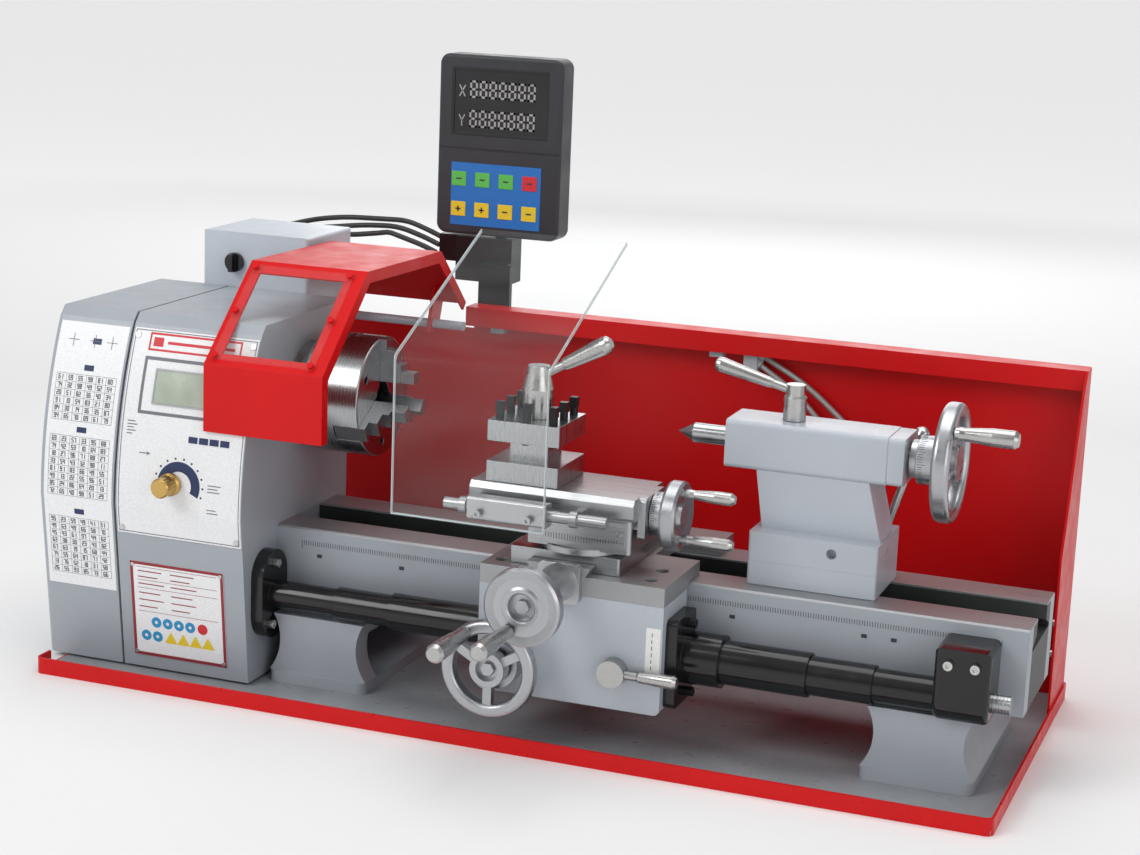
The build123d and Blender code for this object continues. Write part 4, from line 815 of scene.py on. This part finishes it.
BED_FRONT, APRON_FRONT = -56.2, -118  # mm
DIALS = (("carriage_dial_marks", "carriage_wheel", ((5, 0, 65), "y", 19, -135, 3, 5)),
         ("cross_dial_marks", "cross_wheel", ((51, 0, 135), "y", 21, -173, -4, -7)),
         ("top_dial_marks", "top_wheel", ((0, -76, 185.3), "x", 17, 111.5, 3, 5)),
         ("tailstock_dial_marks", "tailstock_wheel", ((0, 0, 234), "x", 19, 297, 4, 6)))
SWIVEL_X, SWIVEL_RADIUS, SWIVEL_LEFT, SWIVEL_RIGHT = 55, 128, 22, 94


class LATHE_OT_scales(bpy.types.Operator):
    """Cuts the scale on the bed's front, on the four dials and on the swivel's plate"""
    bl_idname = "lathe.scales"
    bl_label = "Scales"

    def execute(self, context):
        pitch = sizes_of().tick_pitch / MM
        x = np.arange(-200.0, 380.0, pitch)
        long = np.isclose(np.mod(x + 200.0, 10.0), 0.0)
        foot, head = np.where(long, 110.5, 113.5), np.full(len(x), 117.5)
        bars = np.stack([x - 0.22, x + 0.22, foot, head], -1)
        mesh_piece("bed_scale", *flat_bars(bars, BED_FRONT, 0.12), "ink", "frame", "grey_paint")
        spots = [(s - 2.2, s + 2.2, 104, 107) for s in (-184, -110, 170, 274, 297)]
        mesh_piece("bed_marks", *flat_bars(spots, BED_FRONT, 0.15), "ink", "frame", "grey_paint")
        count = sizes_of().tick_count
        for name, body, spec in DIALS:
            mesh_piece(name, *dial_marks(*spec, count), "ink", body, "bright_steel")
        angle = np.radians(np.arange(-16, 17, 1.0))
        spots = [(SWIVEL_X + SWIVEL_RADIUS * math.sin(a), 163 + 80 * (1 - math.cos(a))) for a in angle]
        ticks = [(x - 0.2, x + 0.2, foot, 168) for x, foot in spots
                 if SWIVEL_LEFT < x - 0.2 < SWIVEL_RIGHT]
        mesh_piece("swivel_scale", *flat_bars(ticks, -107, 0.12), "ink", "compound", "ground_steel")
        label = flat_bars([(121, 132.5, 71, 107)], APRON_FRONT, 0.2)
        mesh_piece("apron_label", *label, "ink_white", "carriage", "white_panel")
        lines = [(125.5, 126.1, z, z + 3.2) for z in np.arange(74, 104, 5.2)]
        marks = flat_bars(lines, APRON_FRONT - 0.2, 0.1)
        mesh_piece("apron_label_marks", *marks, "ink", "carriage", "white_panel")
        return {"FINISHED"}


CAMERA_SPOT = (0.6391, -1.7245, 0.6413)
AZIMUTH, ELEVATION, ROLL, LENS = 20.04, 12.76, 2.30, 73.795
WORLD_STRENGTH = 0.50
SKY = ((0.0, 1.6), (0.16, 1.5), (0.34, 0.45), (0.6, 0.7), (1.0, 1.1))  # height, level
FLOOR_HALF = 30
GLOW_START, GLOW_END, GLOW = 1.3, 3.5, 0.42  # the far floor brightens between these, in metres
LIGHTS = (("key", (-1.5, -1.9, 1.9), (0, 0, 0.15), 1.4, 30.0),  # name, place, aim, size, watts
          ("fill", (2.0, -1.5, 1.1), (0, 0, 0.15), 1.6, 12.0),
          ("top", (0.1, 0.3, 2.3), (0, 0, 0.1), 1.8, 22.0),
          ("back", (-0.6, 2.4, 1.3), (0, 0, 0.15), 1.6, 12.0))


def soft_world(scene):
    """The surroundings: levels of grey by height."""
    world = bpy.data.worlds.new("studio")
    scene.world = world
    world.use_nodes = True
    tree = world.node_tree
    place = tree.nodes.new("ShaderNodeTexCoord")
    split = tree.nodes.new("ShaderNodeSeparateXYZ")
    ramp = tree.nodes.new("ShaderNodeValToRGB")
    ramp.color_ramp.elements[0].position, ramp.color_ramp.elements[1].position = 0.0, 1.0
    for position, _ in SKY[1:-1]:
        ramp.color_ramp.elements.new(position)
    for element, (position, level) in zip(ramp.color_ramp.elements, SKY):
        element.position, element.color = position, (level, level, level * 1.01, 1.0)
    tree.links.new(place.outputs["Generated"], split.inputs[0])
    tree.links.new(split.outputs[2], ramp.inputs[0])
    tree.links.new(ramp.outputs[0], tree.nodes["Background"].inputs["Color"])
    tree.nodes["Background"].inputs["Strength"].default_value = WORLD_STRENGTH


def soft_lights(scene):
    """Square area lights round the lathe."""
    for name, spot, aim, size, power in LIGHTS:
        light = bpy.data.lights.new(name, "AREA")
        light.shape, light.size, light.energy = "SQUARE", size, power
        lamp = bpy.data.objects.new(name, light)
        lamp.location = spot
        lamp.rotation_euler = (Vector(aim) - Vector(spot)).to_track_quat("-Z", "Y").to_euler()
        scene.collection.objects.link(lamp)


def camera_shot(scene):
    """The camera, turned by azimuth and elevation and then rolled about its view."""
    camera = bpy.data.cameras.new("camera")
    camera.lens, camera.sensor_width, camera.sensor_fit = LENS, 36.0, "HORIZONTAL"
    camera.clip_start, camera.clip_end = 0.05, 100.0
    shot = bpy.data.objects.new("camera", camera)
    az, el, roll = (math.radians(v) for v in (AZIMUTH, ELEVATION, ROLL))
    ahead = Vector((-math.sin(az) * math.cos(el), math.cos(az) * math.cos(el), -math.sin(el)))
    right = Vector((math.cos(az), math.sin(az), 0.0))
    up = right.cross(ahead)
    side = right * math.cos(roll) + up * math.sin(roll)
    rise = up * math.cos(roll) - right * math.sin(roll)
    turn = Matrix((side, rise, -ahead)).transposed().to_4x4()
    shot.matrix_world = Matrix.Translation(CAMERA_SPOT) @ turn
    scene.collection.objects.link(shot)
    scene.camera = shot


class LATHE_OT_stage(bpy.types.Operator):
    """Makes the pale floor, the soft lights, the camera and the surroundings"""
    bl_idname = "lathe.stage"
    bl_label = "Stage"

    def execute(self, context):
        scene = context.scene
        u = np.linspace(-FLOOR_HALF, FLOOR_HALF, 3)
        grid = np.stack([*np.meshgrid(u, u, indexing="ij"), np.zeros((3, 3))], -1).reshape(-1, 3)
        index = np.arange(9).reshape(3, 3)
        quads = grid_quads(index)
        mesh = bpy.data.meshes.new("floor")
        mesh.from_pydata(grid.tolist(), [], quads.tolist())
        floor = bpy.data.objects.new("floor", mesh)
        scene.collection.objects.link(floor)
        s = Shader("pale_floor")
        s.link(s.mix(s.noise(s.place, 3.0, 3.0), (0.86, 0.86, 0.86), (0.90, 0.90, 0.90)),
               s.bsdf.inputs["Base Color"])
        s.bsdf.inputs["Roughness"].default_value = 0.7
        far = s.add("ShaderNodeVectorMath", operation="LENGTH")
        s.link(s.place, far.inputs[0])
        s.bsdf.inputs["Emission Color"].default_value = (1.0, 1.0, 1.0, 1.0)
        glow = s.ramp(far.outputs["Value"], 0.0, GLOW, GLOW_START, GLOW_END)
        s.link(glow, s.bsdf.inputs["Emission Strength"])
        mesh.materials.append(s.material)
        soft_world(scene)
        soft_lights(scene)
        camera_shot(scene)
        scene.view_settings.view_transform = "Standard"
        return {"FINISHED"}


ORDER = (LATHE_OT_stage, LATHE_OT_finishes, LATHE_OT_speed_panel, LATHE_OT_feed_chart,
         LATHE_OT_data_plate, LATHE_OT_readout, LATHE_OT_scales)


class LATHE_PT_panel(bpy.types.Panel):
    """Lists the lathe's operators and sizes"""
    bl_label = "Bench lathe"
    bl_idname = "LATHE_PT_panel"
    bl_space_type = "VIEW_3D"
    bl_region_type = "UI"
    bl_category = "Lathe"

    def draw(self, context):
        for operator in ORDER:
            self.layout.operator(operator.bl_idname)
        for group in (context.scene.lathe_finish, context.scene.lathe_sizes):
            for name in group.bl_rna.properties.keys():
                if name not in ("rna_type", "name"):
                    self.layout.prop(group, name)


CLASSES = (LatheFinish, LatheSizes, *ORDER, LATHE_PT_panel)


def register():
    for cls in CLASSES:
        bpy.utils.register_class(cls)
    bpy.types.Scene.lathe_finish = PointerProperty(type=LatheFinish)
    bpy.types.Scene.lathe_sizes = PointerProperty(type=LatheSizes)


def unregister():
    del bpy.types.Scene.lathe_sizes
    del bpy.types.Scene.lathe_finish
    for cls in reversed(CLASSES):
        bpy.utils.unregister_class(cls)


def main():
    register()
    for operator in ORDER:
        group, name = operator.bl_idname.split(".")
        getattr(getattr(bpy.ops, group), name)()


if __name__ == "__main__":
    main()
